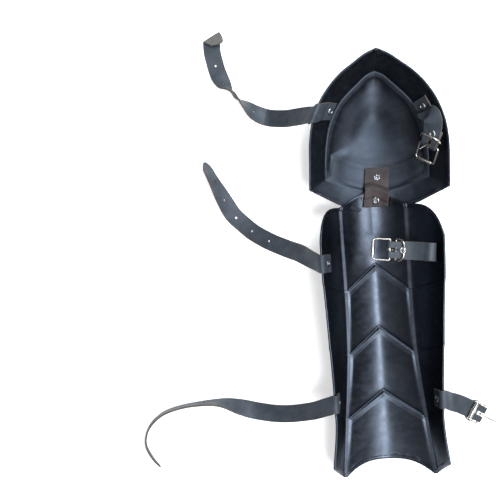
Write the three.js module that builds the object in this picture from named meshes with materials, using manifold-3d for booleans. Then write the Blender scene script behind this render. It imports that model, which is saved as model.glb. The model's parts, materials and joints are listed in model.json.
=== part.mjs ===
// A black steel greave with its knee plate, lying on its front with the hollow side up. Millimetres, +Z up.
// The shin plate runs along Y with the knee at +Y. Leather straps and open roller buckles are riveted inside.
import * as THREE from 'three';
import { mergeVertices } from 'three/addons/utils/BufferGeometryUtils.js';
import Module from 'manifold-3d';

const wasm = await Module();
wasm.setup();

// Steel plates
const steel = 1.2;
const hem_fold = 1.4;
const hem_width = 4;
const hem_slope = 0.4;
const shin_length = 314;
const shin_width = 134;
const shin_depth = 58;
const shin_lift = 15;
const rim_shift = -1.5;
const keel_shift = -5;
const panel_width = 97;
const panel_depth = 12.5;
const crease_width = 4;
const crease_rise = 1;
const crease_drop = 2;
const lame_step = 1.7;
const lame_run = 1.6;
const chevron_drop = 29;
const side_rise = 12;
const top_peak = 17;
const top_corner = 38;
const ankle_arch = 16;
const ankle_flare = 18;
const knee_width = 157;
const knee_height = 185;
const knee_depth = 48;
const knee_overlap = 29;
const knee_shift = 1.6;
const knee_swivel = -1.5;
const rest_radius = 11;

// Leather and hardware
const leather = 2;
const strap_width = 20;
const tip_length = 14;
const hole_radius = 1.4;
const hole_pitch = 25;
const hole_count = 5;
const gap = 0.3;
const seat_gap = 0.6;
const overlap_gap = 1.2;
const rim_clearance = 0.9;
const tab_width = 28;
const tab_above = 26;
const tab_below = 20;
const tab_shift = 5;
const tab_lean = 5.5;
const rivet_radius = 4.2;
const rivet_height = 1;
const rivet_play = 0.6;
const shank_radius = 1.7;
const buckle_wire = 2.2;
const buckle_width = 25.4;
const buckle_length = 21;
const buckle_corner = 3.2;
const bar_corner = 1.3;
const roller_radius = 2.15;
const roller_length = 17.5;
const prong_wire = 1.7;
const prong_slot = 4.4;
const slot_back = 8;
const keeper_wire = 2;
const keeper_width = 26;
const keeper_reach = 13;
const keeper_back = 6.5;
const fold_rivet_back = 14;
const fold_return = 19;

// Where the straps are riveted: how far down the shin, how far in from the rim, and how far each strap's end
// goes on past its rivet
const upper_strap_down = 81;
const upper_buckle_down = 75;
const lower_strap_down = 238;
const seat_depth = 9;
const knee_strap_rivet = 15;
const knee_strap_end = 3.5;
const knee_strap_slant = 0.0375;
const upper_strap_rivet = 20;
const upper_strap_end = 10;
const lower_strap_rivet = 16;
const lower_strap_end = 8;
const knee_buckle_rivet = 13.5;
const upper_buckle_rivet = 27;
const lower_buckle_rivet = 16;
const buckle_strap_end = 9;
const buckle_strap_start = 7;

// How far the free straps and the buckles lie from where they leave the steel: across, along and up
const knee_strap_reach = 119;
const knee_strap_drift = 108;
const upper_strap_reach = 134;
const upper_strap_drift = 125;
const lower_strap_reach = 222;
const lower_strap_drift = 72;
const knee_buckle_reach = 6;
const knee_buckle_drift = 46;
const knee_buckle_rise = 24;
const upper_buckle_reach = 46;
const upper_buckle_drift = 5.5;
const upper_buckle_rise = 8;
const lower_buckle_reach = 45;
const lower_buckle_drift = 22;
const lower_buckle_rise = 16;

// The stretch over which a strap turns from the wall's direction to its own
const turn_start = 12;
const turn_end = 50;
const buckle_turn = 16;

// Chevron steps, as shares of the shin's length from its top
const CHEVRONS = [0.273, 0.506, 0.744];

// Sections of the shin, as shares of its length, width, depth, panel width and lift
const SHIN_SECTIONS = [
  { along: 0, width: 1, depth: 0.97, panel: 0.72, lift: 1 },
  { along: 0.17, width: 1, depth: 1, panel: 0.72, lift: 0.68 },
  { along: 0.31, width: 0.99, depth: 1, panel: 0.715, lift: 0.46 },
  { along: 0.45, width: 0.955, depth: 0.965, panel: 0.72, lift: 0.29 },
  { along: 0.59, width: 0.925, depth: 0.925, panel: 0.745, lift: 0.17 },
  { along: 0.71, width: 0.9, depth: 0.86, panel: 0.81, lift: 0.09 },
  { along: 0.85, width: 0.893, depth: 0.81, panel: 0.9, lift: 0.03 },
  { along: 1, width: 0.965, depth: 0.775, panel: 1, lift: 0 },
  { along: 1.06, width: 1, depth: 0.765, panel: 1.03, lift: 0 },
];

// Half of the knee plate from its apex round to its lowest point. out, up and in are shares of the half width,
// the height and the depth. rim is the edge, ledge the raised strip's outer line, field its inner line and
// foot the line where the dome starts.
const KNEE_LINES = [
  { rim: { out: 0, up: 1, in: 0.96 }, ledge: { out: 0, up: 0.885, in: 0.5 },
    field: { out: 0, up: 0.853, in: 0.49 }, foot: { out: 0, up: 0.843, in: 0.45 } },
  { rim: { out: 0.17, up: 0.966, in: 0.965 }, ledge: { out: 0.125, up: 0.86, in: 0.5 },
    field: { out: 0.1, up: 0.832, in: 0.49 }, foot: { out: 0.09, up: 0.823, in: 0.45 } },
  { rim: { out: 0.345, up: 0.913, in: 0.97 }, ledge: { out: 0.26, up: 0.808, in: 0.5 },
    field: { out: 0.215, up: 0.784, in: 0.49 }, foot: { out: 0.2, up: 0.776, in: 0.45 } },
  { rim: { out: 0.51, up: 0.859, in: 0.98 }, ledge: { out: 0.4, up: 0.752, in: 0.5 },
    field: { out: 0.345, up: 0.732, in: 0.49 }, foot: { out: 0.33, up: 0.726, in: 0.45 } },
  { rim: { out: 0.665, up: 0.789, in: 1 }, ledge: { out: 0.515, up: 0.696, in: 0.5 },
    field: { out: 0.455, up: 0.68, in: 0.49 }, foot: { out: 0.44, up: 0.675, in: 0.45 } },
  { rim: { out: 0.82, up: 0.692, in: 1 }, ledge: { out: 0.615, up: 0.622, in: 0.5 },
    field: { out: 0.545, up: 0.608, in: 0.49 }, foot: { out: 0.528, up: 0.603, in: 0.45 } },
  { rim: { out: 0.935, up: 0.568, in: 1 }, ledge: { out: 0.69, up: 0.535, in: 0.5 },
    field: { out: 0.617, up: 0.525, in: 0.49 }, foot: { out: 0.6, up: 0.522, in: 0.45 } },
  { rim: { out: 0.985, up: 0.44, in: 0.99 }, ledge: { out: 0.735, up: 0.42, in: 0.49 },
    field: { out: 0.66, up: 0.418, in: 0.48 }, foot: { out: 0.643, up: 0.42, in: 0.43 } },
  { rim: { out: 0.993, up: 0.3, in: 0.96 }, ledge: { out: 0.75, up: 0.31, in: 0.48 },
    field: { out: 0.675, up: 0.315, in: 0.46 }, foot: { out: 0.65, up: 0.385, in: 0.41 } },
  { rim: { out: 1, up: 0.155, in: 0.84 }, ledge: { out: 0.75, up: 0.225, in: 0.46 },
    field: { out: 0.675, up: 0.243, in: 0.43 }, foot: { out: 0.62, up: 0.368, in: 0.36 } },
  { rim: { out: 0.6, up: 0.072, in: 0.52 }, ledge: { out: 0.47, up: 0.185, in: 0.33 },
    field: { out: 0.44, up: 0.2, in: 0.29 }, foot: { out: 0.42, up: 0.33, in: 0.22 } },
  { rim: { out: 0.29, up: 0.022, in: 0.3 }, ledge: { out: 0.235, up: 0.155, in: 0.275 },
    field: { out: 0.22, up: 0.172, in: 0.235 }, foot: { out: 0.21, up: 0.305, in: 0.14 } },
  { rim: { out: 0, up: 0, in: 0.27 }, ledge: { out: 0, up: 0.142, in: 0.26 },
    field: { out: 0, up: 0.159, in: 0.22 }, foot: { out: 0, up: 0.295, in: 0.11 } },
];
const knee_corner_row = 9;
const knee_centre = 0.56;

const vec = (x, y, z) => new THREE.Vector3(x, y, z);
const radians = THREE.MathUtils.degToRad;
const mix = THREE.MathUtils.lerp;

// A smooth reading of one column of a table whose rows are placed by their first column.
function read(table, column, at) {
  let i = 0;
  while (i < table.length - 2 && at > table[i + 1].along) i += 1;
  const [a, b] = [table[i], table[i + 1]];
  const before = table[Math.max(i - 1, 0)];
  const after = table[Math.min(i + 2, table.length - 1)];
  const span = b.along - a.along;
  const t = (at - a.along) / span;
  const start = ((b[column] - before[column]) / (b.along - before.along)) * span;
  const end = ((after[column] - a[column]) / (after.along - a.along)) * span;
  const [t2, t3] = [t * t, t * t * t];
  return (2 * t3 - 3 * t2 + 1) * a[column] + (t3 - 2 * t2 + t) * start
    + (3 * t2 - 2 * t3) * b[column] + (t3 - t2) * end;
}

// Solids

function geometryOf(points, faces) {
  const geometry = new THREE.BufferGeometry();
  const numbers = points.flatMap((p) => [p.x, p.y, p.z]);
  geometry.setAttribute('position', new THREE.Float32BufferAttribute(numbers, 3));
  geometry.setIndex(faces);
  return geometry;
}

function solidOf(geometry) {
  const bare = geometry.clone();
  bare.deleteAttribute('normal');
  bare.deleteAttribute('uv');
  const merged = mergeVertices(bare, 1e-4);
  return new wasm.Manifold(new wasm.Mesh({
    numProp: 3,
    vertProperties: new Float32Array(merged.attributes.position.array),
    triVerts: new Uint32Array(merged.index.array),
  }));
}

function geometryFrom(solid) {
  const mesh = solid.getMesh();
  const geometry = new THREE.BufferGeometry();
  geometry.setAttribute('position', new THREE.BufferAttribute(new Float32Array(mesh.vertProperties), 3));
  geometry.setIndex(new THREE.BufferAttribute(new Uint32Array(mesh.triVerts), 1));
  return geometry;
}

function cut(geometry, tools) {
  return geometryFrom(tools.reduce((solid, tool) => solid.subtract(solidOf(tool)), solidOf(geometry)));
}

// A round drill through a point, along a direction.
function drill(point, direction, radius, length = 12, sides = 10) {
  const tool = new THREE.CylinderGeometry(radius, radius, length, sides);
  tool.applyQuaternion(new THREE.Quaternion().setFromUnitVectors(vec(0, 1, 0), direction));
  return tool.translate(point.x, point.y, point.z);
}

// Joins sections of equal point counts into one closed body. A loop closes on its first section.
function skin(sections, loop = false) {
  const sides = sections[0].length;
  const count = sections.length;
  const points = sections.flat();
  const faces = [];
  for (let i = 0; i < (loop ? count : count - 1); i += 1) {
    const [a, b] = [i * sides, ((i + 1) % count) * sides];
    for (let j = 0; j < sides; j += 1) {
      const k = (j + 1) % sides;
      faces.push(a + j, b + j, b + k, a + j, b + k, a + k);
    }
  }
  if (!loop) {
    const last = (count - 1) * sides;
    for (let j = 1; j < sides - 1; j += 1) faces.push(0, j, j + 1, last, last + j + 1, last + j);
  }
  return facingOut(geometryOf(points, faces));
}

// Turns every face round where the body encloses a negative volume.
function facingOut(geometry) {
  const { array } = geometry.attributes.position;
  const index = geometry.index.array;
  const corner = (i) => vec(array[3 * i], array[3 * i + 1], array[3 * i + 2]);
  let volume = 0;
  for (let i = 0; i < index.length; i += 3) {
    volume += corner(index[i]).dot(corner(index[i + 1]).cross(corner(index[i + 2])));
  }
  if (volume < 0) {
    for (let i = 0; i < index.length; i += 3) [index[i], index[i + 1]] = [index[i + 1], index[i]];
  }
  return geometry;
}

// A round wire along points. side is a direction that no stretch of the wire follows.
function wire(points, radius, sides, side, loop = false) {
  const count = points.length;
  return skin(points.map((p, i) => {
    const before = points[loop ? (i + count - 1) % count : Math.max(i - 1, 0)];
    const after = points[loop ? (i + 1) % count : Math.min(i + 1, count - 1)];
    const run = after.clone().sub(before).normalize();
    const across = side.clone().cross(run).normalize();
    const up = run.clone().cross(across);
    return Array.from({ length: sides }, (_, k) => {
      const turn = (2 * Math.PI * k) / sides;
      const [wide, high] = [radius * Math.cos(turn), radius * Math.sin(turn)];
      return p.clone().addScaledVector(across, wide).addScaledVector(up, high);
    });
  }), loop);
}

// A sheet from a grid of points on its hollow side. Each point has a shift that moves both faces and a fold
// that thickens the hollow side. A round grid wraps and closes on a centre point.
function plate(grid, round = false, thickness = steel) {
  const [rows, columns] = [grid.length, grid[0].length];
  const at = (r, c) => grid[Math.min(Math.max(r, 0), rows - 1)][
    round ? (c + columns) % columns : Math.min(Math.max(c, 0), columns - 1)].point;
  const hollow = [];
  const front = [];
  for (let r = 0; r < rows; r += 1) {
    for (let c = 0; c < columns; c += 1) {
      const down = at(r + 1, c).clone().sub(at(r - 1, c));
      const across = at(r, c + 1).clone().sub(at(r, c - 1));
      const normal = down.cross(across).normalize();
      if (normal.z < 0) normal.negate();
      const { point, shift, fold, level } = grid[r][c];
      if (level) normal.set(0, 0, 1);
      hollow.push(point.clone().addScaledVector(normal, shift + fold));
      front.push(point.clone().addScaledVector(normal, shift - thickness));
    }
  }
  const total = rows * columns;
  const faces = [];
  const quad = (a, b, c, d) => faces.push(a, b, c, a, c, d);
  const width = round ? columns : columns - 1;
  for (let r = 0; r < rows - 1; r += 1) {
    for (let c = 0; c < width; c += 1) {
      const next = (c + 1) % columns;
      const [a, b] = [r * columns + c, r * columns + next];
      const [d, e] = [a + columns, b + columns];
      quad(a, b, e, d);
      quad(total + a, total + d, total + e, total + b);
    }
  }
  const edge = [];
  for (let c = 0; c < columns; c += 1) edge.push(c);
  if (!round) {
    for (let r = 1; r < rows; r += 1) edge.push(r * columns + columns - 1);
    for (let c = columns - 2; c >= 0; c -= 1) edge.push((rows - 1) * columns + c);
    for (let r = rows - 2; r > 0; r -= 1) edge.push(r * columns);
  }
  edge.forEach((a, i) => {
    const b = edge[(i + 1) % edge.length];
    quad(a, total + a, total + b, b);
  });
  const points = [...hollow, ...front];
  if (round) {
    const inner = (rows - 1) * columns;
    for (const [start, turn] of [[inner, 1], [total + inner, -1]]) {
      const middle = vec(0, 0, 0);
      for (let c = 0; c < columns; c += 1) middle.addScaledVector(points[start + c], 1 / columns);
      const centre = points.push(middle) - 1;
      for (let c = 0; c < columns; c += 1) {
        const next = (c + 1) % columns;
        if (turn > 0) faces.push(start + c, start + next, centre);
        else faces.push(start + next, start + c, centre);
      }
    }
  }
  return facingOut(geometryOf(points, faces));
}

// Shin plate

// A place on the shin's hollow side, without its lames. lane runs from 0 at the keel over 1 and 2 at the two
// sides of the crease to 3 at the rim, and is negative on the left.
function shinPlain(lane, y) {
  const share = -y / shin_length;
  const side = Math.sign(lane);
  const a = Math.abs(lane);
  const keel = shin_lift * read(SHIN_SECTIONS, 'lift', share) + steel;
  const half = (panel_width * read(SHIN_SECTIONS, 'panel', share)) / 2;
  const middle = keel_shift * (1 - share);
  if (a <= 1) return vec(middle + side * half * a, y, keel + panel_depth * (0.45 * a + 0.55 * a * a));
  const strip = Math.min(a - 1, 1);
  const creased = vec(middle + side * (half + crease_width * strip), y, keel + panel_depth);
  creased.z += crease_rise * strip;
  if (a <= 2) return creased;
  const rim_x = rim_shift + (side * shin_width * read(SHIN_SECTIONS, 'width', share)) / 2;
  const rim_z = keel + shin_depth * read(SHIN_SECTIONS, 'depth', share);
  const turn = ((a - 2) * Math.PI) / 2;
  return vec(
    mix(creased.x, rim_x, 0.5 * Math.sin(turn) + 0.5 * (a - 2)),
    y,
    mix(creased.z, rim_z, 0.5 * (1 - Math.cos(turn)) + 0.5 * (a - 2)),
  );
}

// Lines across the shin: its top edge, its chevrons and its bottom edge, as Y at a lane.
function shinLine(line, lane) {
  const a = Math.abs(lane);
  const panel = Math.min(a, 1);
  const wall = Math.max(a - 2, 0);
  if (line === 0) {
    const strip = Math.min(Math.max(a - 1, 0), 1);
    return -top_peak * panel ** 1.3 - crease_drop * strip - top_corner * wall ** 3;
  }
  if (line <= CHEVRONS.length) {
    return -shin_length * CHEVRONS[line - 1] - chevron_drop * panel + side_rise * wall;
  }
  return -shin_length - ankle_arch * panel ** 3 + ankle_flare * wall;
}

// The lame that holds a place, and how far that lame stands proud there.
function lameShift(lane, y) {
  let line = 0;
  while (line < CHEVRONS.length && y < shinLine(line + 1, lane) - lame_run / 2) line += 1;
  const top = shinLine(line, lane);
  const bottom = shinLine(line + 1, lane);
  return line === 0 ? 0 : lame_step * THREE.MathUtils.clamp((y - bottom) / (top - bottom), 0, 1);
}

function shinPlace(lane, y) {
  const step = 0.5;
  const across = shinPlain(lane + 0.02, y).sub(shinPlain(lane - 0.02, y));
  const along = shinPlain(lane, y + step).sub(shinPlain(lane, y - step));
  const normal = across.cross(along).normalize();
  if (normal.z < 0) normal.negate();
  const point = shinPlain(lane, y).addScaledVector(normal, lameShift(lane, y));
  return { point, normal };
}

// The lane of the shin over a place, for what lies on it or passes under it.
function shinLane(x, y) {
  let [low, high] = [x < keel_shift ? -3 : 0, x < keel_shift ? 0 : 3];
  for (let i = 0; i < 24; i += 1) {
    const lane = (low + high) / 2;
    if (shinPlain(lane, y).x < x) low = lane;
    else high = lane;
  }
  return low;
}

const panel_lanes = [0, 0.22, 0.45, 0.7, 0.88, 1];
const wall_lanes = [2, 2.2, 2.42, 2.65, 2.85];
const lame_shares = [0, 0.14, 0.42, 0.72, 1];

function shinPlate(holes) {
  const wall_run = shin_depth * 1.1;
  const foot = 3 - hem_width / wall_run;
  const right = [...panel_lanes, ...wall_lanes, foot - hem_slope / wall_run, foot, 3];
  const lanes = [...right.slice(1).reverse().map((lane) => -lane), ...right];
  const rows = [];
  for (let line = 0; line <= CHEVRONS.length; line += 1) {
    let shares = lame_shares;
    const span = shin_length / (CHEVRONS.length + 1);
    if (line === 0) shares = [0, hem_width / span, (hem_width + hem_slope) / span, ...lame_shares.slice(2)];
    if (line === CHEVRONS.length) {
      shares = [...lame_shares.slice(0, -1), 1 - (hem_width + hem_slope) / span, 1 - hem_width / span, 1];
    }
    shares.forEach((share) => rows.push({ line, share }));
  }
  const last = rows.length - 1;
  const grid = rows.map(({ line, share }, r) => lanes.map((lane) => {
    const top = shinLine(line, lane) - (line > 0 ? lame_run / 2 : 0);
    const bottom = shinLine(line + 1, lane) + (line < CHEVRONS.length ? lame_run / 2 : 0);
    const y = mix(top, bottom, share);
    const folded = r < 2 || r > last - 2 || Math.abs(lane) >= foot;
    const shift = line > 0 ? lame_step * (1 - share) : 0;
    return { point: shinPlain(lane, y), shift, fold: folded ? hem_fold : 0 };
  }));
  return cut(plate(grid), holes);
}

// Knee plate

const knee_bottom = vec(knee_shift, -knee_overlap, 0);

function kneePlace(out, up, deep) {
  const point = vec((out * knee_width) / 2, up * knee_height, deep * knee_depth);
  return point.applyAxisAngle(vec(0, 0, 1), radians(knee_swivel)).add(knee_bottom);
}

// A line of the knee plate at a place round it: 0 is the apex, the table's last row the lowest point, and
// negative places are on the left. The stretch below the corner is straight between rows.
function kneeLine(name, place) {
  const last = KNEE_LINES.length - 1;
  const a = Math.min(Math.abs(place), last);
  const side = Math.sign(place) || 1;
  const value = (column) => {
    const i = Math.min(Math.floor(a), last - 1);
    const row = (k) => {
      const mirrored = k < 0 && column === 'out' ? -1 : 1;
      return KNEE_LINES[Math.min(Math.abs(k), last)][name][column] * mirrored;
    };
    const t = a - i;
    if (i >= knee_corner_row - 1) return mix(row(i), row(i + 1), t);
    const [before, start, end, after] = [row(i - 1), row(i), row(i + 1), row(i + 2)];
    return start + 0.5 * t * (end - before + t * (2 * before - 5 * start + 4 * end - after
      + t * (3 * (start - end) + after - before)));
  };
  return { out: side * value('out'), up: value('up'), in: value('in') };
}

// The knee's lower margin passes under the shin plate, so its hollow side stays below the shin's front.
function underShin(point, extra) {
  const under = point.y < gap * 10 && Math.abs(point.x) < shin_width * 0.42;
  if (!under) return point;
  const level = Math.min(point.y, -gap);
  const ceiling = shinPlain(shinLane(point.x, level), level).z - steel - overlap_gap - extra;
  point.z = Math.min(point.z, ceiling);
  return point;
}

function kneeBetween(outer, inner, share, extra = 0) {
  const [out, up, deep] = ['out', 'up', 'in'].map((column) => mix(outer[column], inner[column], share));
  return underShin(kneePlace(out, up, deep), extra);
}

const knee_margin = 22;
const dome_shares = [0.78, 0.5];

function kneeRings(place) {
  const [rim, ledge, field, foot] = ['rim', 'ledge', 'field', 'foot'].map((name) => kneeLine(name, place));
  const hem = hem_width / knee_margin;
  const folded = (share) => ({ point: kneeBetween(rim, ledge, share, hem_fold), shift: 0, fold: hem_fold });
  const flat = (outer, inner, share) => ({ point: kneeBetween(outer, inner, share), shift: 0, fold: 0 });
  const centre = { out: 0, up: knee_centre };
  const dome = dome_shares.map((share) => ({
    point: kneePlace(mix(0, foot.out, share), mix(centre.up, foot.up, share),
      steel / knee_depth + (foot.in - steel / knee_depth) * share ** 2.2),
    shift: 0,
    fold: 0,
  }));
  const away = vec((foot.out * knee_width) / 2, (foot.up - centre.up) * knee_height, 0);
  away.setLength(rest_radius).applyAxisAngle(vec(0, 0, 1), radians(knee_swivel));
  const rest = kneePlace(0, centre.up, 0).add(away);
  rest.z = steel;
  return [
    folded(0), folded(hem), flat(rim, ledge, hem + hem_slope / knee_margin), flat(rim, ledge, 0.6),
    flat(rim, ledge, 1), flat(field, field, 0), flat(foot, foot, 0), ...dome,
    { point: rest, shift: 0, fold: 0, level: true },
  ];
}

function kneePlate(holes) {
  const last = KNEE_LINES.length - 1;
  const places = [];
  for (let k = 0; k < last * 2; k += 1) places.push(k / 2);
  for (let k = last * 2; k > 0; k -= 1) places.push(-k / 2);
  const columns = places.map(kneeRings);
  return cut(plate(columns[0].map((_, r) => columns.map((column) => column[r])), true), holes);
}

// A place on the knee's margin: share 0 at the rim, 1 at the ledge.
function kneeMargin(place, share) {
  const at = (p, s) => kneeBetween(kneeLine('rim', p), kneeLine('ledge', p), s);
  const along = at(place + 0.1, share).sub(at(place - 0.1, share));
  const down = at(place, share + 0.1).sub(at(place, share - 0.1));
  const normal = along.cross(down).normalize();
  if (normal.z < 0) normal.negate();
  return { point: at(place, share), normal };
}

// Where each strap is riveted. wall(s) is a place on the hollow side, s from 0 at the rim down the wall in mm,
// edge is the wall's direction along the rim, and each place stands off by how far the wall bends inwards
// over the strap's width.
function seatOf(wall_at, depth) {
  const ends = (s) => [wall_at(s, strap_width / 2).point, wall_at(s, -strap_width / 2).point];
  const wall = (s) => {
    const { point, normal } = wall_at(s, 0);
    const [a, b] = ends(s);
    const bend = Math.max(a.clone().add(b).multiplyScalar(0.5).sub(point).dot(normal), 0);
    return { point: point.addScaledVector(normal, bend), normal, bend };
  };
  const [a, b] = ends(depth);
  const edge = a.clone().sub(b).normalize();
  return { wall, edge: edge.y < 0 ? edge.negate() : edge };
}

function shinSeat(side, y, depth = seat_depth) {
  const run = shin_depth * 1.1;
  return seatOf((s, along) => shinPlace(side * (3 - s / run), y + along), depth);
}

// slant is how much further round the knee the strap lies for each mm down from the rim.
function kneeSeat(place, depth = seat_depth, slant = 0) {
  const pitch = kneeMargin(place + 0.5, 0.5).point.distanceTo(kneeMargin(place - 0.5, 0.5).point);
  return seatOf((s, along) => kneeMargin(place + slant * s + along / pitch, s / knee_margin), depth);
}

// Rivets: a cap on the leather, a shank through both layers and, where there is room, a small head outside.
const rivets = [];

function rivet(name, point, normal, stack, outside = true) {
  const foot = stack + gap;
  const rear = outside ? [[0, -foot - rivet_height * 0.8], [rivet_radius * 0.6, -foot - rivet_height * 0.8],
    [rivet_radius * 0.75, -foot]] : [[0, -foot + steel * 0.5]];
  const shank_end = outside ? -foot : -foot + steel * 0.5;
  const cap = gap + rivet_play;
  const profile = [...rear, [shank_radius, shank_end], [shank_radius, cap], [rivet_radius, cap],
    [rivet_radius * 0.8, cap + rivet_height], [shank_radius, cap + rivet_height], [0, cap + gap]];
  const geometry = new THREE.LatheGeometry(profile.map(([r, z]) => new THREE.Vector2(r, z)), 8);
  const turn = new THREE.Quaternion().setFromUnitVectors(vec(0, 1, 0), normal);
  rivets.push({ name, geometry, point, turn });
  return drill(point, normal, shank_radius + gap, 16);
}

// Straps

// A flat strip along stations, each with a place on its middle line, its width direction and its half width.
function strip(stations) {
  return skin(stations.map(({ place, side, half }, i) => {
    const before = stations[Math.max(i - 1, 0)].place;
    const after = stations[Math.min(i + 1, stations.length - 1)].place;
    const run = after.clone().sub(before).normalize();
    const thick = run.clone().cross(side).normalize();
    const corner = (u, v) => place.clone().addScaledVector(side, u * half)
      .addScaledVector(thick, (v * leather) / 2);
    return [corner(-1, -1), corner(1, -1), corner(1, 1), corner(-1, 1)];
  }));
}

// The stretch of a strap that is riveted to the wall: from below the rivet up to the hem.
function wallStretch(seat, below, above) {
  const lift = seat_gap + leather / 2;
  const steps = [below, (below + hem_width + 5) / 2, Math.max(above, hem_width + 5), above];
  return steps.map((s) => {
    const { point, normal } = seat.wall(s);
    return point.addScaledVector(normal, lift + (s < hem_width + 2 ? hem_fold + gap : 0));
  });
}

// The turn over the rim, from the hollow side to the outside.
function overRim(seat) {
  const { point, normal } = seat.wall(0);
  const leave = seat.wall(0).point.sub(seat.wall(hem_width).point).normalize();
  const slide = leave.dot(seat.edge);
  const up = leave.clone().addScaledVector(seat.edge, -slide).normalize();
  const drift = slide / Math.sqrt(1 - slide ** 2);
  const centre = point.addScaledVector(normal, (hem_fold - steel) / 2);
  const radius = (hem_fold + steel) / 2 + rim_clearance + leather / 2;
  return [0, 35, 70, 105].map((turn) => centre.clone()
    .addScaledVector(normal, radius * Math.cos(radians(turn)))
    .addScaledVector(up, radius * Math.sin(radians(turn)))
    .addScaledVector(seat.edge, drift * radius * radians(turn)));
}

// The free stretch, from a table of places as shares of the strap's reach (X), drift (Y) and rim height.
// roll tips the strap from flat (0) to standing on its edge (90).
function freeStretch(start, strap) {
  const height = start.z;
  return strap.rows.map(({ out, drift, up, roll }) => ({
    place: vec(start.x + out * strap.reach, start.y + drift * strap.drift, up * height), roll,
  }));
}

// Evens a path out into stations about step mm apart. The width follows edge as far as held, and the level
// from freed.
function stationsAlong(path, edge, held, freed, step) {
  const curve = new THREE.CatmullRomCurve3(path.map((row) => row.place), false, 'centripetal');
  const length = curve.getLength();
  const count = Math.round(length / step);
  const lengths = curve.getLengths(path.length * 40);
  const reached = path.map((_, i) => lengths[Math.round((i / (path.length - 1)) * (lengths.length - 1))]);
  const rolls = path.map(({ roll }, i) => ({ along: reached[i], roll }));
  return Array.from({ length: count + 1 }, (_, i) => {
    const t = i / count;
    const run = curve.getTangentAt(t);
    const level = vec(run.y, -run.x, 0).normalize();
    if (level.dot(edge) < 0) level.negate();
    const roll = read(rolls, 'roll', t * length);
    level.applyAxisAngle(run, radians(roll));
    const hold = THREE.MathUtils.smoothstep(t * length, held, freed);
    const side = edge.clone().multiplyScalar(1 - hold).addScaledVector(level, hold).normalize();
    const place = curve.getPointAt(t);
    const thick = run.clone().cross(side).normalize();
    const stand = (Math.abs(side.z) * strap_width + Math.abs(thick.z) * leather) / 2;
    place.z = Math.max(place.z, stand);
    const half = strap_width / 2 / run.clone().cross(side).length();
    return { place, side, half, along: t * length, length };
  });
}

const TONGUE_STRAPS = [
  {
    name: 'knee', seat: kneeSeat(-5.6, seat_depth, knee_strap_slant), rivet_at: knee_strap_rivet,
    end: knee_strap_end,
    reach: -knee_strap_reach, drift: knee_strap_drift,
    rows: [
      { out: 0.06, drift: 0.003, up: 0.84, roll: 0 },
      { out: 0.16, drift: 0.012, up: 0.58, roll: 0 },
      { out: 0.28, drift: 0.03, up: 0.29, roll: 0 },
      { out: 0.43, drift: 0.068, up: 0.05, roll: 2 },
      { out: 0.555, drift: 0.13, up: 0.05, roll: 20 },
      { out: 0.665, drift: 0.235, up: 0.11, roll: 52 },
      { out: 0.765, drift: 0.345, up: 0.11, roll: 56 },
      { out: 0.845, drift: 0.45, up: 0.06, roll: 26 },
      { out: 0.895, drift: 0.575, up: 0.02, roll: 4 },
      { out: 0.925, drift: 0.7, up: 0.02, roll: 0 },
      { out: 0.945, drift: 0.825, up: 0.03, roll: 0 },
      { out: 0.935, drift: 0.925, up: 0.08, roll: -10 },
      { out: 0.86, drift: 0.985, up: 0.2, roll: -24 },
    ],
  },
  {
    name: 'upper', seat: shinSeat(-1, -upper_strap_down), rivet_at: upper_strap_rivet, end: upper_strap_end,
    reach: -upper_strap_reach, drift: upper_strap_drift,
    rows: [
      { out: 0.06, drift: 0.03, up: 0.88, roll: 0 },
      { out: 0.17, drift: 0.1, up: 0.64, roll: 0 },
      { out: 0.34, drift: 0.18, up: 0.32, roll: 0 },
      { out: 0.52, drift: 0.29, up: 0.1, roll: 0 },
      { out: 0.64, drift: 0.395, up: 0.02, roll: 0 },
      { out: 0.73, drift: 0.5, up: 0.02, roll: 6 },
      { out: 0.805, drift: 0.65, up: 0.05, roll: 30 },
      { out: 0.9, drift: 0.87, up: 0.1, roll: 60 },
      { out: 0.955, drift: 1, up: 0.1, roll: 56 },
    ],
  },
  {
    name: 'lower', seat: shinSeat(-1, -lower_strap_down), rivet_at: lower_strap_rivet, end: lower_strap_end,
    reach: -lower_strap_reach, drift: -lower_strap_drift,
    rows: [
      { out: 0.035, drift: 0.03, up: 0.93, roll: 0 },
      { out: 0.12, drift: 0.12, up: 0.7, roll: 0 },
      { out: 0.26, drift: 0.2, up: 0.36, roll: 2 },
      { out: 0.4, drift: 0.17, up: 0.14, roll: 12 },
      { out: 0.49, drift: 0.09, up: 0.12, roll: 38 },
      { out: 0.6, drift: 0, up: 0.18, roll: 76 },
      { out: 0.71, drift: 0, up: 0.2, roll: 88 },
      { out: 0.82, drift: 0.05, up: 0.2, roll: 90 },
      { out: 0.91, drift: 0.15, up: 0.2, roll: 88 },
      { out: 0.98, drift: 0.36, up: 0.2, roll: 84 },
      { out: 1, drift: 0.62, up: 0.2, roll: 80 },
      { out: 0.97, drift: 0.84, up: 0.2, roll: 78 },
      { out: 0.93, drift: 1, up: 0.2, roll: 76 },
    ],
  },
];

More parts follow.
